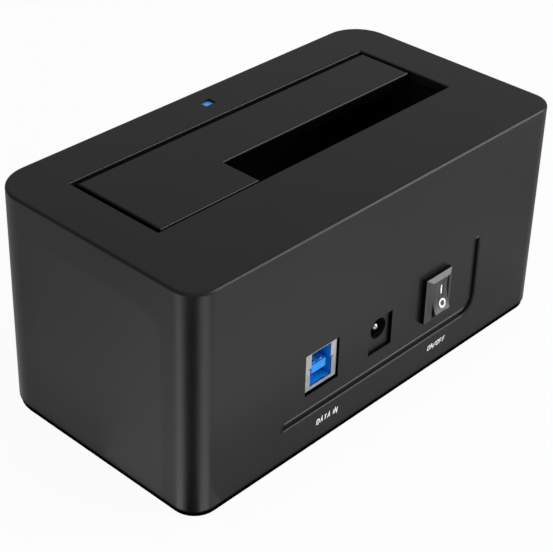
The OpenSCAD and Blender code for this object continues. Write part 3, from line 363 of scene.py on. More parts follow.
@dataclass(frozen=True)
class DraggedPlastic:
    """Plastic that is smooth and dull up to a level, its tone there a painted shade, with upright drag lines
    from its mould on all past it.
    """

    name: str
    # The painted shade's tone, up to the level.
    smooth: str
    line: str
    between: str
    level_mm: float
    roughness: float
    line_mm: Triple = (0.42, 4.0, 9.0)
    relief_mm: float = 0.006
    specular: Pair = (0.08, 0.5)
    ior: float = 1.54
    border_mm: float = 0.04
    gloss_spread: float = 0.12

    def material(self) -> Material:
        """Builds the material. How far out a place is picks the smooth, dull tone of the painted shade or
        the lined, glossy tone.

        Returns:
            The material.
        """
        material, tree, shader, place = start(self.name, IOR=self.ior)
        level, half = (self.level_mm + CASING_SHIFT_Y) * MM, self.border_mm * MM / 2
        y = add(tree, "ShaderNodeSeparateXYZ", {"Vector": place}).outputs["Y"]
        edge = {"From Min": level - half, "From Max": level + half}
        out = add(tree, "ShaderNodeMapRange", {"Value": y}, edge).outputs["Result"]
        limits = {"To Min": self.specular[0], "To Max": self.specular[1]}
        shine = add(tree, "ShaderNodeMapRange", {"Value": out}, limits)
        feed(tree, shader, {"Specular IOR Level": shine.outputs["Result"]})
        lines = drawn_lines(tree, place, self.line_mm, 2.0, 0.5)
        stops = [(0.35, linear(self.line)), (0.65, linear(self.between))]
        tint = add(tree, "ShaderNodeValToRGB", {"Fac": lines}, stops=stops).outputs["Color"]
        sources, tone = {FACTOR: out, TONE_B: tint}, {TONE_A: linear(self.smooth)}
        colour = add(tree, "ShaderNodeMix", sources, tone, data_type="RGBA").outputs[MIXED]
        gloss = (lines, self.roughness, self.gloss_spread)
        surface(tree, shader, colour, gloss, (lines, self.relief_mm))
        return material


@dataclass(frozen=True)
class WorkedMetal:
    """Rolled, drawn or plated metal: fine lines along one direction over a soft, uneven tone."""

    name: str
    colour: str
    worn: str
    roughness: float
    line_mm: Triple = (0.25, 3.0, 3.0)
    relief_mm: float = 0.0015
    tone_mm: float = 2.5
    gloss_spread: float = 0.14

    def material(self) -> Material:
        """Builds the material.

        Returns:
            The material.
        """
        material, tree, shader, place = start(self.name, Metallic=1.0)
        lines = drawn_lines(tree, place, self.line_mm, 3.0, 0.6)
        sizes = {"Scale": per_metre(self.tone_mm), "Detail": 2.0}
        tone = add(tree, "ShaderNodeTexNoise", {"Vector": place}, sizes).outputs["Fac"]
        stops = [(0.3, linear(self.worn)), (0.65, linear(self.colour))]
        tint = add(tree, "ShaderNodeValToRGB", {"Fac": tone}, stops=stops).outputs["Color"]
        gloss = (lines, self.roughness, self.gloss_spread)
        surface(tree, shader, tint, gloss, (lines, self.relief_mm), NOISE_SPAN)
        return material


@dataclass(frozen=True)
class LitAcrylic:
    """Tinted clear acrylic lit from below: it glows most in its middle and is polished on top."""

    name: str
    colour: str
    glow_middle: str
    glow_edge: str
    middle: Triple
    reach_mm: float
    strength: float
    roughness: Pair = (0.1, 0.25)
    haze_mm: float = 0.6
    ior: float = 1.49

    def material(self) -> Material:
        """Builds the material. The glow falls off with the distance from the window's middle.

        Returns:
            The material.
        """
        material, tree, shader, place = start(
            self.name, Base_Color=linear(self.colour), IOR=self.ior, Emission_Strength=self.strength
        )
        near = nearness(tree, place, self.middle, self.reach_mm)
        stops = [(0.0, linear(self.glow_edge)), (0.9, linear(self.glow_middle))]
        glow = add(tree, "ShaderNodeValToRGB", {"Fac": near}, stops=stops)
        sizes = {"Scale": per_metre(self.haze_mm), "Detail": 2.0}
        haze = add(tree, "ShaderNodeTexNoise", {"Vector": place}, sizes).outputs["Fac"]
        limits = {"To Min": self.roughness[0], "To Max": self.roughness[1]}
        gloss = add(tree, "ShaderNodeMapRange", {"Value": haze}, limits)
        feed(tree, shader, {"Emission Color": glow.outputs["Color"], "Roughness": gloss.outputs["Result"]})
        return material


@dataclass(frozen=True)
class SolderMask:
    """Green solder mask over copper tracks: the tracks stand proud and look paler through the mask."""

    name: str
    mask: str
    track: str
    track_mm: float = 0.28
    pitch_mm: float = 1.9
    run_mm: float = 11.0
    proud_mm: float = 0.035
    roughness: float = 0.33
    gloss_spread: float = -0.1
    ior: float = 1.5

    def material(self) -> Material:
        """Builds the material. The joints of a brick pattern, a pitch apart, are the tracks.

        Returns:
            The material.
        """
        material, tree, shader, place = start(self.name, IOR=self.ior)
        sizes = {
            "Scale": 1.0,
            "Mortar Size": self.track_mm * MM / 2,
            "Mortar Smooth": 0.1,
            "Brick Width": self.run_mm * MM,
            "Row Height": self.pitch_mm * MM,
            "Color1": linear(self.mask),
            "Color2": linear(self.mask),
            "Mortar": linear(self.track),
        }
        tracks = add(tree, "ShaderNodeTexBrick", {"Vector": place}, sizes)
        joints = tracks.outputs["Fac"]
        gloss = (joints, self.roughness, self.gloss_spread)
        surface(tree, shader, tracks.outputs["Color"], gloss, (joints, self.proud_mm))
        return material


@dataclass(frozen=True)
class TwoTone:
    """Two materials on one solid, one above a level and one below it, such as epoxy over tinned leads."""

    name: str
    below: str
    above: str
    level_mm: float
    below_metal: float
    above_metal: float
    roughness: float = 0.4
    speck_mm: float = 0.3
    relief_mm: float = 0.004
    gloss_spread: float = 0.2

    def material(self) -> Material:
        """Builds the material. Height over the level picks the colour and the metal, specks the gloss.

        Returns:
            The material.
        """
        material, tree, shader, place = start(self.name)
        z = add(tree, "ShaderNodeSeparateXYZ", {"Vector": place}).outputs["Z"]
        level = {1: self.level_mm * MM}
        high = add(tree, "ShaderNodeMath", {0: z}, level, operation="GREATER_THAN").outputs[0]
        stops = [(0.0, linear(self.below)), (1.0, linear(self.above))]
        tint = add(tree, "ShaderNodeValToRGB", {"Fac": high}, stops=stops).outputs["Color"]
        limits = {"To Min": self.below_metal, "To Max": self.above_metal}
        metal = add(tree, "ShaderNodeMapRange", {"Value": high}, limits)
        feed(tree, shader, {"Metallic": metal.outputs["Result"]})
        sizes = {"Scale": per_metre(self.speck_mm), "Detail": 3.0}
        specks = add(tree, "ShaderNodeTexNoise", {"Vector": place}, sizes).outputs["Fac"]
        gloss = (specks, self.roughness, self.gloss_spread)
        surface(tree, shader, tint, gloss, (specks, self.relief_mm))
        return material


@dataclass(frozen=True)
class StudioPaper:
    """White seamless paper with a painted pool of light: plain white to the eye with a soft shadow, and
    paler in gloss near the pool's middle than away from it."""

    name: str
    colour: str
    white_seen: float
    pool_middle: Triple
    pool_mm: float
    pool_range: Pair
    roughness: float = 0.9
    specular: float = 0.2

    def material(self) -> Material:
        """Builds the material: even white mixed in for camera rays, and the painted pool for glossy and
        clear ones.

        Returns:
            The material.
        """
        material, tree, shader, place = start(
            self.name,
            Base_Color=linear(self.colour),
            Roughness=self.roughness,
            Specular_IOR_Level=self.specular,
        )
        near = nearness(tree, place, self.pool_middle, self.pool_mm)
        limits = {"To Min": self.pool_range[0], "To Max": self.pool_range[1]}
        pool = add(tree, "ShaderNodeMapRange", {"Value": near}, limits)
        path = add(tree, "ShaderNodeLightPath").outputs
        kinds = {0: path["Is Glossy Ray"], 1: path["Is Transmission Ray"]}
        mirrored = add(tree, "ShaderNodeMath", kinds, operation="MAXIMUM")
        camera, share = {0: path["Is Camera Ray"]}, {1: self.white_seen}
        seen = add(tree, "ShaderNodeMath", camera, share, operation="MULTIPLY")
        glow = add(tree, "ShaderNodeEmission", {"Strength": pool.outputs["Result"]})
        white = add(tree, "ShaderNodeEmission", sockets={"Strength": 1.0})
        both = {0: mirrored.outputs[0], 1: shader.outputs[0], 2: glow.outputs[0]}
        lit = add(tree, "ShaderNodeMixShader", both)
        both = {0: seen.outputs[0], 1: lit.outputs[0], 2: white.outputs[0]}
        mixed = add(tree, "ShaderNodeMixShader", both)
        output = next(node for node in tree.nodes if node.type == "OUTPUT_MATERIAL")
        feed(tree, output, {"Surface": mixed.outputs[0]})
        return material


BOARD_TOP = 18.1
LEADS_TOP = BOARD_TOP + 0.5
SLEEVE_TOP = BOARD_TOP + 7.65
# Near black and dull: painted shade for recesses and for edges that face into the dark.
PAINTED_SHADE = "#040404"
PAINTED_SHADE_SPECULAR = 0.05

# Black ABS from a spark-eroded mould: satin, with no grain that shows at arm's length.
SATIN_ABS = MouldedPlastic("satin_black_abs", "#161617", "#1a1a1b", 0.33, specular=0.27, ior=1.54)
# The shell's: with a painted reflection, a faintly paler field on its ends, and painted shade, dark and
# dull, in the walls of the rear openings.
CASE_ABS = replace(
    SATIN_ABS,
    name="shell_black_abs",
    painted_light_zones=(
        # Painted reflection: a faintly paler field on both ends, stronger towards the rear.
        PaintedLightZone((-100.0, -21.0, -10.0), (100.0, 26.0, 55.9), "#262627", None, 6.0, 1.2, 0.35),
        # Painted shade: near black and dull in the groove and the walls of the rear openings.
        PaintedLightZone((-32.0, 30.0, 14.5), (36.0, 36.4, 40.0), PAINTED_SHADE, PAINTED_SHADE_SPECULAR),
    ),
)
# The flap's: near black and dull on its edges and underside, which face the bay, as painted shade.
FLAP_ABS = replace(
    SATIN_ABS,
    name="flap_black_abs",
    painted_light_zones=(PaintedLightZone((-100.0, -100.0, 0.0), (100.0, 100.0, 64.4), PAINTED_SHADE, PAINTED_SHADE_SPECULAR),),
)
# The same ABS from a plain mould inside the case: duller, and darker as painted shade for the inside of the
# bay.
INNER_ABS = MouldedPlastic("matt_black_abs", "#0d0d0e", "#101011", 0.6, specular=0.2, ior=1.54)
# Black rubber: matt, dusty in patches.
FOOT_RUBBER = MouldedPlastic("black_rubber", "#141414", "#1d1d1c", 0.85, 0.35, 0.02, 4.0, 0.1, 0.3, 1.52)
# Harder ABS of the switch's housing: smooth and black on the bezel's rim, a painted shade, and paler on its
# bevel, where drag lines of the mould break up the gloss.
SWITCH_ABS = DraggedPlastic("switch_black_abs", "#070708", "#343436", "#464649", 37.75, 0.34)
# The rocker's: near black with stronger, closer drag lines up its face, and smooth and dull as painted shade
# where it sits back in the housing.
ROCKER_ABS = DraggedPlastic(
    "rocker_black_abs", "#08080a", "#101012", "#48484c", 36.0, 0.3, (0.3, 4.0, 12.0), 0.012
)
# Blue nylon of the data port: glossy, with a cloudy depth.
PORT_NYLON = MouldedPlastic("blue_nylon", "#0b86e2", "#1a94f2", 0.3, 0.3, 0.002, 1.5, 0.08, 0.5, 1.53)
# White pad-printing ink: flat and slightly uneven.
PRINT_INK = MouldedPlastic("white_print_ink", "#e4e4e4", "#f2f2f2", 0.6, 0.15, 0.002, 0.6, 0.1, 0.4, 1.5)
# Natural nylon of the detent plunger: milky and half glossy.
DETENT_NYLON = MouldedPlastic("natural_nylon", "#d9d4c4", "#e6e2d6", 0.4, 0.3, 0.002, 2.0, 0.06, 0.5, 1.53)
# Red PVC wire insulation: soft gloss.
WIRE_PVC = MouldedPlastic("red_pvc", "#a81915", "#bb241e", 0.4, 0.4, 0.004, 3.0, 0.08, 0.5, 1.54)
# Pressed ferrite: dark, dull and gritty.
FERRITE = MouldedPlastic("pressed_ferrite", "#2b2b2d", "#353538", 0.7, 0.25, 0.015, 1.5, 0.1, 0.4, 1.6)
# Fired ceramic of small capacitors and resistors: tan and dull.
CERAMIC = MouldedPlastic("fired_ceramic", "#8f6f48", "#a98a60", 0.55, 0.2, 0.006, 0.8, 0.1, 0.5, 1.6)
# Clear epoxy of the light chip: pale and glossy.
LED_EPOXY = MouldedPlastic("clear_epoxy", "#dfe9f7", "#eef4fc", 0.2, 0.3, 0.001, 1.0, 0.04, 0.5, 1.5)
# Bright zinc plating on screws and pins: silvery and a little cloudy.
ZINC = WorkedMetal("zinc_plate", "#c3c5c9", "#9fa2a8", 0.27, (0.4, 0.4, 0.4))
# Tin-plated sheet of the port's shell: bright, with rolling lines along its depth.
TIN_SHEET = WorkedMetal("tin_plated_sheet", "#dcdcdd", "#c4c4c6", 0.31, (0.2, 4.0, 0.2))
# Drawn spring wire: bluish grey with fine lines.
SPRING_WIRE = WorkedMetal("drawn_spring_wire", "#9a9da3", "#7c7f86", 0.31, (0.1, 0.6, 0.6))
# Plated brass contacts: pale gold.
CONTACT_BRASS = WorkedMetal("gilt_brass", "#d2ad5e", "#b08a42", 0.29, (0.15, 1.5, 1.5))
# The light pipe's acrylic: dark blue, lit from below.
LIGHT_ACRYLIC = LitAcrylic(
    "lit_blue_acrylic", "#061c50", "#4ba3ea", "#06204e", (0.3, -29.2, 64.5), 2.0, 0.85
)
# The board's solder mask: green and half glossy over paler tracks.
BOARD_MASK = SolderMask("green_solder_mask", "#0d4a2a", "#2f7a4a")
# Chip packages: dull black epoxy over bright tinned leads.
CHIP_EPOXY = TwoTone("chip_epoxy", "#b9bbbf", "#1c1c1f", LEADS_TOP, 1.0, 0.0, 0.5)
# Capacitor cans: a dark plastic sleeve with the bare metal top above it.
CAN_SLEEVE = TwoTone("sleeved_can", "#20242b", "#b8bcc2", SLEEVE_TOP, 0.0, 1.0, 0.4)
# The studio's paper: matt white, with a painted pool of light in its gloss.
PAPER = StudioPaper("studio_paper", "#f4f4f4", 0.94, (55.0, 95.0, 0.0), 180.0, (0.45, 0.96))

_made: dict[str, Material] = {}


def made(finish: Finish) -> Material:
    """The finish's material, built the first time it is asked for.

    Args:
        finish: the finish.

    Returns:
        Its material.
    """
    if finish.name not in _made:
        _made[finish.name] = finish.material()
    return _made[finish.name]


def mesh_object(name: str, points: Points, faces: Points, finish: Finish, smooth: bool = True) -> Object:
    """A mesh object at the origin from whole arrays, its faces turned outwards.

    Args:
        name: the piece's name.
        points: n by 3 points in the part's frame, in metres.
        faces: point numbers, a row for each face.
        finish: the piece's finish.
        smooth: shade it smooth.

    Returns:
        The new object, linked to the scene.
    """
    mesh = bpy.data.meshes.new(name)
    mesh.from_pydata(points.tolist(), [], faces.tolist())
    shape = bmesh.new()
    shape.from_mesh(mesh)
    bmesh.ops.recalc_face_normals(shape, faces=shape.faces)
    shape.to_mesh(mesh)
    shape.free()
    mesh.polygons.foreach_set("use_smooth", np.full(len(mesh.polygons), smooth))
    mesh.materials.append(made(finish))
    obj = bpy.data.objects.new(name, mesh)
    bpy.context.scene.collection.objects.link(obj)
    return obj


def tube_faces(rings: int, sides: int, closed: bool) -> Points:
    """Faces of a tube of rings: quads between neighbours, and a fan of quads over each end of an open tube.

    Args:
        rings: how many rings there are.
        sides: how many points a ring has, an even number.
        closed: the last ring joins the first.

    Returns:
        m by 4 point numbers.
    """
    last = rings if closed else rings - 1
    i, j = np.meshgrid(np.arange(last), np.arange(sides), indexing="ij")
    k, n = (i + 1) % rings, (j + 1) % sides
    walls = np.stack([i * sides + j, k * sides + j, k * sides + n, i * sides + n], -1).reshape(-1, 4)
    if closed:
        return walls
    a = np.arange(sides // 2 - 1)
    cap = np.stack([a, a + 1, sides - 2 - a, sides - 1 - a], -1)
    return np.concatenate([walls, cap, cap[:, ::-1] + (rings - 1) * sides])


def band(path: Points, width: float, low: float, high: float, closed: bool) -> tuple[Points, Points]:
    """A flat band along a path in a plane: a rectangular profile carried along with mitred corners.

    Each side is the path moved by half the width along the mitre, the mean of the neighbouring normals
    divided by the cosine of half the turn.

    Args:
        path: n by 2 points.
        width: the band's width.
        low: height of its underside.
        high: height of its upper side.
        closed: the path closes on itself.

    Returns:
        Points as (across, up, height) and faces.
    """
    steps = np.roll(path, -1, 0) - path if closed else np.diff(path, axis=0)
    steps = steps / np.linalg.norm(steps, axis=1, keepdims=True)
    ahead = steps if closed else np.vstack([steps, steps[-1:]])
    behind = np.roll(steps, 1, 0) if closed else np.vstack([steps[:1], steps])
    normal = ahead[:, ::-1] * [-1, 1] + behind[:, ::-1] * [-1, 1]
    normal = normal * 2 / (normal**2).sum(1, keepdims=True)
    side, height = np.array([1, 1, -1, -1]), np.array([low, high, high, low])
    flat = path[:, None, :] + normal[:, None, :] * side[None, :, None] * width / 2
    points = np.concatenate([flat, np.broadcast_to(height[None, :, None], (*flat.shape[:2], 1))], -1)
    return points.reshape(-1, 3), tube_faces(len(path), 4, closed)


def wire_tube(path: Points, diameter: float, sides: int) -> tuple[Points, Points]:
    """A round wire along a path that nowhere runs along x.

    Each ring lies square to the path: its two axes are the path's heading crossed with x, and crossed again.

    Args:
        path: n by 3 points.
        diameter: the wire's diameter.
        sides: points in a ring.

    Returns:
        Points and faces.
    """
    heading = np.gradient(path, axis=0)
    heading = heading / np.linalg.norm(heading, axis=1, keepdims=True)
    a = np.cross(heading, [1.0, 0.0, 0.0])
    a = a / np.linalg.norm(a, axis=1, keepdims=True)
    b = np.cross(heading, a)
    turn = np.arange(sides) * 2 * np.pi / sides
    ring = np.cos(turn)[None, :, None] * a[:, None, :] + np.sin(turn)[None, :, None] * b[:, None, :]
    points = path[:, None, :] + ring * diameter / 2
    return points.reshape(-1, 3), tube_faces(len(path), sides, False)


def helix(turns: float, pitch: float, radius: float, rings_a_turn: int) -> Points:
    """A helix along x that turns backwards: (pitch t, r cos a, r sin a) with a = pi - 2 pi t, t in turns.

    Args:
        turns: how many turns it has.
        pitch: how far a turn takes it along x.
        radius: its radius.
        rings_a_turn: points in a turn.

    Returns:
        n by 3 points.
    """
    t = np.linspace(0.0, turns, int(turns * rings_a_turn) + 1)
    angle = np.pi - 2 * np.pi * t
    return np.stack([pitch * t, radius * np.cos(angle), radius * np.sin(angle)], 1)


def joined(pieces: list[tuple[Points, Points]]) -> tuple[Points, Points]:
    """Several meshes as one: the points follow each other and the faces count on.

    Args:
        pieces: points and faces of each mesh.

    Returns:
        Points and faces.
    """
    starts = np.cumsum([0] + [len(points) for points, _ in pieces[:-1]])
    points = np.concatenate([points for points, _ in pieces])
    return points, np.concatenate([faces + first for (_, faces), first in zip(pieces, starts)])


# Plain block capitals, 1 high: each letter is a list of pen strokes.
LETTERS: dict[str, list[list[Pair]]] = {
    "A": [[(0.0, 0.0), (0.33, 1.0), (0.66, 0.0)], [(0.13, 0.34), (0.53, 0.34)]],
    "D": [[(0.0, 0.0), (0.0, 1.0), (0.46, 1.0), (0.66, 0.8), (0.66, 0.2), (0.46, 0.0), (0.0, 0.0)]],
    "F": [[(0.62, 1.0), (0.0, 1.0), (0.0, 0.0)], [(0.0, 0.52), (0.5, 0.52)]],
    "I": [[(0.0, 0.0), (0.0, 1.0)]],
    "N": [[(0.0, 0.0), (0.0, 1.0), (0.66, 0.0), (0.66, 1.0)]],
    "O": [
        [(0.33, 0.0), (0.12, 0.0), (0.0, 0.14), (0.0, 0.86), (0.12, 1.0), (0.54, 1.0)]
        + [(0.66, 0.86), (0.66, 0.14), (0.54, 0.0), (0.33, 0.0)]
    ],
    "T": [[(0.0, 1.0), (0.66, 1.0)], [(0.33, 1.0), (0.33, 0.0)]],
    "/": [[(0.0, -0.05), (0.4, 1.05)]],
    " ": [],
}
# Width of a letter, and of those that are narrower.
LETTER_W = 0.66
NARROW: dict[str, float] = {"/": 0.4, "I": 0.0, " ": 0.2}


@dataclass
class PrintedWord:
    """A word printed on the rear face, which reads from left to right when that face is looked at."""

    name: str
    text: str
    left_x: float
    width: float
    base_z: float
    height: float = 1.6
    pen: float = 0.3
    slant: float = 0.2
    squeeze: float = 1.0
    rear_y: float = 36.5
    ink: float = 0.03

    def build(self) -> None:
        """Builds the word's mesh and puts it on the casing.

        Each stroke is a band. The letters stand at even gaps over the word's width and lean by its slant.
        """
        wide = [NARROW.get(letter, LETTER_W) * self.squeeze for letter in self.text]
        letter_h = self.height - self.pen
        scale = np.array([self.squeeze * letter_h, letter_h])
        gap = (self.width - self.pen - letter_h * sum(wide)) / (len(self.text) - 1)
        starts = np.cumsum([0.0] + [w * letter_h + gap for w in wide[:-1]])
        strokes = [
            band(np.array(stroke) * scale + [left, 0.0], self.pen, -self.ink, self.ink, False)
            for letter, left in zip(self.text, starts)
            for stroke in LETTERS[letter]
        ]
        points, faces = joined(strokes)
        across = points[:, 0] + self.pen / 2 + self.slant * points[:, 1]
        up = points[:, 1] + self.pen / 2
        placed = np.stack([self.left_x - across, self.rear_y + points[:, 2], self.base_z + up], 1)
        piece = mesh_object(self.name, in_part(placed), faces, PRINT_INK, smooth=False)
        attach(piece, Body.CASING.value)


class SubAssembly:
    """CAD nodes that belong together, with their finishes and the new pieces on them."""

    finishes: ClassVar[Finishes]

    def dress(self) -> None:
        """Gives the CAD nodes their finishes."""
        for node, finish in self.finishes.items():
            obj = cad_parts[node]
            obj.data.materials.clear()
            obj.data.materials.append(made(finish))
            LOG.info("dressed %s in %s", node, finish.name)

    def build(self) -> None:
        """Builds the new pieces, if there are any."""


@dataclass
class Casing(SubAssembly):
    """The shell, its base, its feet and screws, and the words printed on it."""

    finishes: ClassVar[Finishes] = {
        "main_shell": CASE_ABS,
        "base_plate": INNER_ABS,
        "rubber_feet": FOOT_RUBBER,
        "base_screws": ZINC,
    }
    words: tuple[PrintedWord, ...] = (
        PrintedWord("data_word", "DATA IN", 25.9, 8.1, 6.4, 1.75, 0.33, squeeze=0.9),
        PrintedWord("switch_word", "ON/OFF", -19.1, 7.6, 6.7),
    )

    def build(self) -> None:
        """Prints the words."""
        for word in self.words:
            word.build()
            LOG.info("built %s", word.name)


@dataclass
class DriveBay(SubAssembly):
    """The well, the flap on its rod, and the two springs that push it shut."""

    finishes: ClassVar[Finishes] = {
        "drive_well": INNER_ABS,
        "drive_flap": FLAP_ABS,
        "hinge_rod": ZINC,
        "well_screws": ZINC,
    }
    hinge_y: float = -22.3
    hinge_z: float = 60.35
    coil_r: float = 1.45
    wire_d: float = 0.5
    pitch: float = 0.95
    turns: float = 5.25
    leg: float = 9.0
    wall_y: float = -1.9
    flap_z: float = 2.25
    starts_x: Pair = (-44.5, 39.5)
    rings_a_turn: int = 32
    sides: int = 12
    leg_start: float = 0.06  # a leg's first ring, as a share of its length
    leg_rings: int = 24

    def spring_path(self) -> Points:
        """One spring's path from its start on the hinge axis: a leg, a helix turning backwards, a leg.

        Returns:
            n by 3 points, x along the rod.
        """
        coil = helix(self.turns, self.pitch, self.coil_r, self.rings_a_turn)
        s = np.linspace(1.0, self.leg_start, self.leg_rings)[:, None]
        end_x = self.pitch * self.turns
        first = s * [0.0, self.wall_y, -self.leg] + (1 - s) * [0.0, -self.coil_r, 0.0]
        last = s * [end_x, self.leg, self.flap_z] + (1 - s) * [end_x, 0.0, self.coil_r]
        return np.concatenate([first, coil, last[::-1]])

    def build(self) -> None:
        """Winds the two springs. Each follows the casing at one end and the flap at the other."""
        for name, x in zip(("flap_spring_left", "flap_spring_right"), self.starts_x):
            path = self.spring_path() + [x, self.hinge_y, self.hinge_z]
            points, faces = wire_tube(path, self.wire_d, self.sides)
            spring = mesh_object(name, in_part(points), faces, SPRING_WIRE)
            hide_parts("flap_springs")
            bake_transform(spring)
            LOG.info("built %s", name)


@dataclass
class Electronics(SubAssembly):
    """The board, the drive connector and the parts on the board."""

    finishes: ClassVar[Finishes] = {
        "main_board": BOARD_MASK,
        "board_screws": ZINC,
        "sata_housing": INNER_ABS,
        "sata_contacts": CONTACT_BRASS,
        "controller_chip": CHIP_EPOXY,
        "flash_chip": CHIP_EPOXY,
        "regulator_chip": CHIP_EPOXY,
        "power_inductor": FERRITE,
        "electrolytic_capacitors": CAN_SLEEVE,
        "crystal_can": ZINC,
        "ceramic_passives": CERAMIC,
        "status_led": LED_EPOXY,
        "light_pipe": LIGHT_ACRYLIC,
    }


@dataclass
class RearPorts(SubAssembly):
    """The data port and the power jack."""

    finishes: ClassVar[Finishes] = {
        "usb_shell": TIN_SHEET,
        "usb_insulator": PORT_NYLON,
        "usb_contacts": TIN_SHEET,
        "dc_jack_body": SATIN_ABS,
        "dc_center_pin": ZINC,
        "dc_side_contact": ZINC,
    }


@dataclass
class PowerSwitch(SubAssembly):
    """The rocker switch, its marks and its detent spring."""

    finishes: ClassVar[Finishes] = {
        "switch_housing": SWITCH_ABS,
        "switch_rocker": ROCKER_ABS,
        "detent_plunger": DETENT_NYLON,
        "contact_blade": CONTACT_BRASS,
        "switch_terminals": CONTACT_BRASS,
        "switch_wires": WIRE_PVC,
    }
    x: float = -20.0
    pivot_y: float = 33.8
    z: float = 25.15
    tilt_deg: float = 8.0
    face: float = 5.35
    hollow: float = 0.75
    hollow_r: float = 15.735
    mark_pen: float = 0.58
    mark_ink: float = 0.03
    mark_x: float = 0.6
    bar_z: Pair = (0.18, 2.72)
    ring_z: float = -2.7
    ring_w: float = 2.15
    ring_h: float = 2.05
    spring_start: float = -3.175
    spring_r: float = 0.775
    spring_wire: float = 0.25
    spring_pitch: float = 0.85
    spring_turns: float = 3.0
    spring_rings: int = 28
    spring_sides: int = 10
    bar_points: int = 12
    ring_points: int = 64

    def tilted(self, points: Points) -> Points:
        """Turns points about the rocker's pivot to where it stands at rest.

        Args:
            points: points in the rocker's own frame.

        Returns:
            Points in the casing's frame.
        """
        turn = math.radians(self.tilt_deg)
        c, s = math.cos(turn), math.sin(turn)
        y, z = points[:, 1], points[:, 2]
        return np.stack([self.x + points[:, 0], self.pivot_y + y * c - z * s, self.z + y * s + z * c], 1)

    def on_face(self, points: Points) -> Points:
        """Flat marks laid on the rocker's hollow face, an arc of a cylinder along x.

        Args:
            points: across, up and height over the face.

        Returns:
            Points in the casing's frame.
        """
        depth = self.hollow_r - np.sqrt(self.hollow_r**2 - points[:, 1] ** 2)
        y = self.face - self.hollow + depth + points[:, 2]
        return self.tilted(np.stack([-self.mark_x - points[:, 0], y, points[:, 1]], 1))

    def build(self) -> None:
        """Builds the bar and the ring on the rocker, and the spring behind its plunger."""
        heights = np.linspace(*self.bar_z, self.bar_points)
        bar = np.stack([np.zeros(self.bar_points), heights], 1)
        turn = np.linspace(0.0, 2 * np.pi, self.ring_points, endpoint=False)
        half_w, half_h = self.ring_w / 2, self.ring_h / 2
        ring = np.stack([half_w * np.cos(turn), self.ring_z + half_h * np.sin(turn)], 1)
        for name, path, closed in (("on_mark", bar, False), ("off_mark", ring, True)):
            points, faces = band(path, self.mark_pen, -self.mark_ink, self.mark_ink, closed)
            piece = mesh_object(name, in_part(self.on_face(points)), faces, PRINT_INK, smooth=False)
            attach(piece, Body.ROCKER.value)
            LOG.info("built %s", name)
        coil = helix(self.spring_turns, self.spring_pitch, self.spring_r, self.spring_rings)
        points, faces = wire_tube(coil, self.spring_wire, self.spring_sides)
        along = np.stack([-points[:, 1], self.spring_start + points[:, 0], points[:, 2]], 1)
        spring = mesh_object("detent_coil", in_part(self.tilted(along)), faces, SPRING_WIRE)
        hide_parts("detent_spring")
        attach(spring, Body.ROCKER.value)
        LOG.info("built detent_coil")


@dataclass(frozen=True)
class Softbox:
    """A square or oblong studio lamp that looks at the object."""

    name: str
    place: Triple
    aim: Triple
    width: float
    height: float
    radiance: float
    mirrored: bool = True

    def build(self) -> None:
        """Builds the lamp. Its power is its radiance times pi times its area."""
        lamp = bpy.data.lights.new(self.name, "AREA")
        lamp.shape = "RECTANGLE"
        lamp.size = self.width
        lamp.size_y = self.height
        lamp.energy = self.radiance * math.pi * self.width * self.height
        obj = bpy.data.objects.new(self.name, lamp)
        back = np.array(self.place) - np.array(self.aim)
        obj.matrix_world = looking(np.array(self.place), back / np.linalg.norm(back), 0.0)
        obj.visible_camera = False
        obj.visible_glossy = self.mirrored
        bpy.context.scene.collection.objects.link(obj)


def fan(
    bearings: Pair,
    reach: Pair,
    middle: Pair = (62.0, 29.5),
    radius: float = 7.0,
    eye_bearing: float = 43.0,
) -> list[Pair]:
    """Corners of a piece of floor that an upright rounded corner mirrors to the camera.

    A ray to a bearing leaves the rounding halfway between that bearing and the camera's, so the tones of the
    cards stand as straight upright bands on the rounding.

    Args:
        bearings: the bearings of its two sides, in degrees.
        reach: the near and the far distance from the rounding.
        middle: the rounding's axis.
        radius: its radius.
        eye_bearing: the camera's bearing.

    Returns:
        The four corners.
    """
    turn = np.radians(np.array(bearings))
    leave = (turn + math.radians(eye_bearing)) / 2
    foot = np.array(middle) + radius * np.stack([np.cos(leave), np.sin(leave)], 1)
    ray = np.stack([np.cos(turn), np.sin(turn)], 1)
    near, far = foot + reach[0] * ray, foot + reach[1] * ray
    return [tuple(near[0]), tuple(far[0]), tuple(far[1]), tuple(near[1])]


def footprint(
    half: Pair = (68.6, 36.1), front_r: float = 10.8, rear_r: float = 6.5, steps: int = 9
) -> list[Pair]:
    """An outline like the casing's from above: four arcs, one after the other.

    Args:
        half: half its length and half its width.
        front_r: radius of the two front corners.
        rear_r: radius of the two rear corners.
        steps: points in an arc.

    Returns:
        The outline's corners.
    """
    quarter = np.linspace(0.0, np.pi / 2, steps)
    signs = np.array([[1, 1], [-1, 1], [-1, -1], [1, -1]])
    radii = np.array([rear_r, rear_r, front_r, front_r])
    middles = signs * (np.array(half) - radii[:, None])
    angles = quarter[None, :] + np.arange(4)[:, None] * np.pi / 2
    arcs = middles[:, None, :] + radii[:, None, None] * np.stack([np.cos(angles), np.sin(angles)], -1)
    return [tuple(corner) for corner in arcs.reshape(-1, 2)]


@dataclass(frozen=True)
class FloorCard:
    """A white, grey or black card that lies on the paper and shows only in the object's gloss. One that is
    seen is a painted shadow, the dark of the gap under the object."""

    name: str
    corners: list[Pair]
    radiance: float
    lift: float = 0.3
    seen: bool = False

    def build(self) -> None:
        """Builds the card: one face between its corners, just over the paper."""
        count = len(self.corners)
        points = np.column_stack([np.array(self.corners), np.full(count, self.lift)])
        card = mesh_object(self.name, in_part(points), np.arange(count)[None, :], self, smooth=False)
        card.visible_camera = self.seen
        card.visible_diffuse = card.visible_shadow = card.visible_transmission = False

    def material(self) -> Material:
        """Builds the card's even tone."""
        return start(
            self.name,
            Base_Color=linear("#000000"),
            Specular_IOR_Level=0.0,
            Emission_Color=(self.radiance,) * 3 + (1.0,),
            Emission_Strength=1.0,
        )[0]


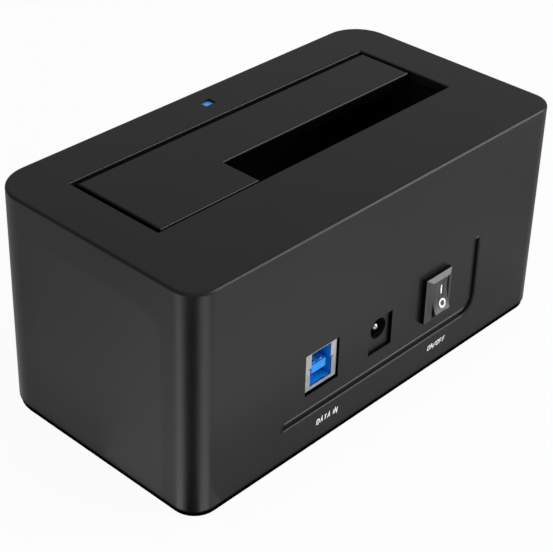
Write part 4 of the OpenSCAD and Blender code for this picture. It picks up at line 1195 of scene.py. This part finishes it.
def looking(place: Points, back: Points, roll_deg: float) -> Matrix:
    """A camera's or lamp's matrix: it looks along minus `back`, its up turned by a roll.

    Args:
        place: where it stands, in metres.
        back: unit vector from what it looks at to it, not upright.
        roll_deg: turn about its own axis.

    Returns:
        The 4 by 4 matrix.
    """
    right = np.cross(-back, [0.0, 0.0, 1.0])
    right = right / np.linalg.norm(right)
    up = np.cross(right, -back)
    c, s = math.cos(math.radians(roll_deg)), math.sin(math.radians(roll_deg))
    axes = np.stack([c * right + s * up, -s * right + c * up, back], 1)
    matrix = np.eye(4)
    matrix[:3, :3] = axes
    matrix[:3, 3] = place
    return Matrix(matrix.tolist())


@dataclass
class Studio:
    """The camera, the paper floor, the lamps and the pale surround."""

    azimuth_deg: float = 133.0
    elevation_deg: float = 31.304
    roll_deg: float = 1.43
    camera: Triple = (267.4, 241.39, 259.25)
    lens_mm: float = 102.85
    shift: Pair = (0.0253, -0.0995)
    sensor_mm: float = 36.0
    clip: Pair = (0.01, 50.0)
    floor_half: float = 4.0
    floor_drop_mm: float = 0.05
    sky: tuple[Pair, ...] = ((0.05, 0.2), (0.35, 0.45), (0.9, 0.5))
    bright_side: Triple = (-0.7, 0.7, 0.0)
    side_range: Pair = (0.4, 1.2)
    lamps: tuple[Softbox, ...] = (
        Softbox("top_fill", (0.05, 0.1, 1.0), (0.0, 0.0, 0.0), 0.8, 0.8, 1.2, False),
        Softbox("end_fill", (0.8, 0.02, 0.2), (0.0, 0.0, 0.03), 0.3, 0.4, 2.0, False),
        Softbox("rear_fill", (0.02, 0.8, 0.2), (0.0, 0.0, 0.03), 0.3, 0.4, 3.0, False),
        Softbox("side_panel", (-0.57, 0.62, 0.32), (0.0, 0.03, 0.03), 0.55, 0.64, 4.5),
    )
    cards: tuple[FloorCard, ...] = (
        FloorCard("black_felt", fan((14.0, 58.0), (0.3, 170.0)), 0.0),
        FloorCard("end_card", fan((-31.0, 0.0), (0.3, 160.0)), 2.2, 0.4),
        FloorCard("rear_card", fan((70.0, 104.0), (0.3, 160.0)), 2.2, 0.4),
        FloorCard("far_card", fan((112.0, 146.0), (220.0, 900.0), (-20.0, 40.0), 0.0), 3.5),
        FloorCard("rear_shade", [(58.0, 36.7), (-70.0, 36.7), (-85.0, 58.0), (58.0, 58.0)], 0.45),
        FloorCard("end_shade", [(69.2, 8.0), (69.2, -60.0), (82.0, -72.0), (82.0, -4.0)], 0.47),
        FloorCard("end_lift", [(112.0, 30.0), (112.0, -130.0), (180.0, -130.0), (180.0, 30.0)], 0.58),
        FloorCard("corner_lift", [(71.0, 27.0), (71.0, 2.0), (146.0, -68.0), (146.0, -43.0)], 0.7, 0.35),
        # Painted shade: a black card seen only in gloss, for the floor's contact shadow around the base.
        FloorCard("foot_contact_shade", footprint((70.2, 37.7), 12.5, 8.2), 0.0, 0.45),
        # Painted shadow: a black card that the camera sees, for the dark gap under the casing.
        FloorCard("under_contact_shadow", footprint(), 0.0, 0.35, True),
    )

    def build(self) -> None:
        """Sets up the camera, the floor, the lamps and the world."""
        scene = bpy.context.scene
        a, e = math.radians(self.azimuth_deg), math.radians(self.elevation_deg)
        back = np.array([math.sin(a) * math.cos(e), -math.cos(a) * math.cos(e), math.sin(e)])
        lens = bpy.data.cameras.new("photo_camera")
        lens.lens = self.lens_mm
        lens.sensor_width = self.sensor_mm
        lens.shift_x, lens.shift_y = self.shift
        lens.clip_start, lens.clip_end = self.clip
        view = bpy.data.objects.new("photo_camera", lens)
        view.matrix_world = looking(in_part(np.array(self.camera)), back, self.roll_deg)
        scene.collection.objects.link(view)
        scene.camera = view
        h, low = self.floor_half, -self.floor_drop_mm * MM
        corners = np.array([[-h, -h, low], [h, -h, low], [h, h, low], [-h, h, low]])
        floor = mesh_object("paper_floor", corners, np.array([[0, 1, 2, 3]]), PAPER, smooth=False)
        for lamp in self.lamps:
            lamp.build()
            LOG.info("set up %s", lamp.name)
        for card in self.cards:
            card.build()
            LOG.info("laid %s", card.name)
        self.surround()
        scene.view_settings.view_transform = "Standard"

    def surround(self) -> None:
        """The world: darkest at the horizon, brighter on one side, and plain white to the camera."""
        world = bpy.data.worlds.new("pale_surround")
        bpy.context.scene.world = world
        world.use_nodes = True
        tree = world.node_tree
        tree.nodes.clear()
        heading = add(tree, "ShaderNodeTexCoord").outputs["Generated"]
        z = add(tree, "ShaderNodeSeparateXYZ", {"Vector": heading}).outputs["Z"]
        stops = [(height, (grey, grey, grey, 1.0)) for height, grey in self.sky]
        ramp = add(tree, "ShaderNodeValToRGB", {"Fac": z}, stops=stops)
        axis = {1: self.bright_side}
        along = add(tree, "ShaderNodeVectorMath", {0: heading}, axis, operation="DOT_PRODUCT")
        limits = {"From Min": -1.0, "To Min": self.side_range[0], "To Max": self.side_range[1]}
        side = add(tree, "ShaderNodeMapRange", {"Value": along.outputs["Value"]}, limits)
        tone = {"Color": ramp.outputs["Color"], "Strength": side.outputs["Result"]}
        light = add(tree, "ShaderNodeBackground", tone)
        plain = {"Color": (1.0, 1.0, 1.0, 1.0), "Strength": 1.0}
        white = add(tree, "ShaderNodeBackground", sockets=plain)
        path = add(tree, "ShaderNodeLightPath")
        both = {0: path.outputs["Is Camera Ray"], 1: light.outputs[0], 2: white.outputs[0]}
        mixed = add(tree, "ShaderNodeMixShader", both)
        add(tree, "ShaderNodeOutputWorld", {"Surface": mixed.outputs[0]})


def main() -> None:
    """Dresses and builds each sub-assembly in order, then sets up the studio."""
    logging.basicConfig(level=logging.INFO, format="%(name)s: %(message)s")
    for assembly in (Casing(), DriveBay(), Electronics(), RearPorts(), PowerSwitch()):
        assembly.dress()
        assembly.build()
    Studio().build()


if __name__ == "__main__":
    main()
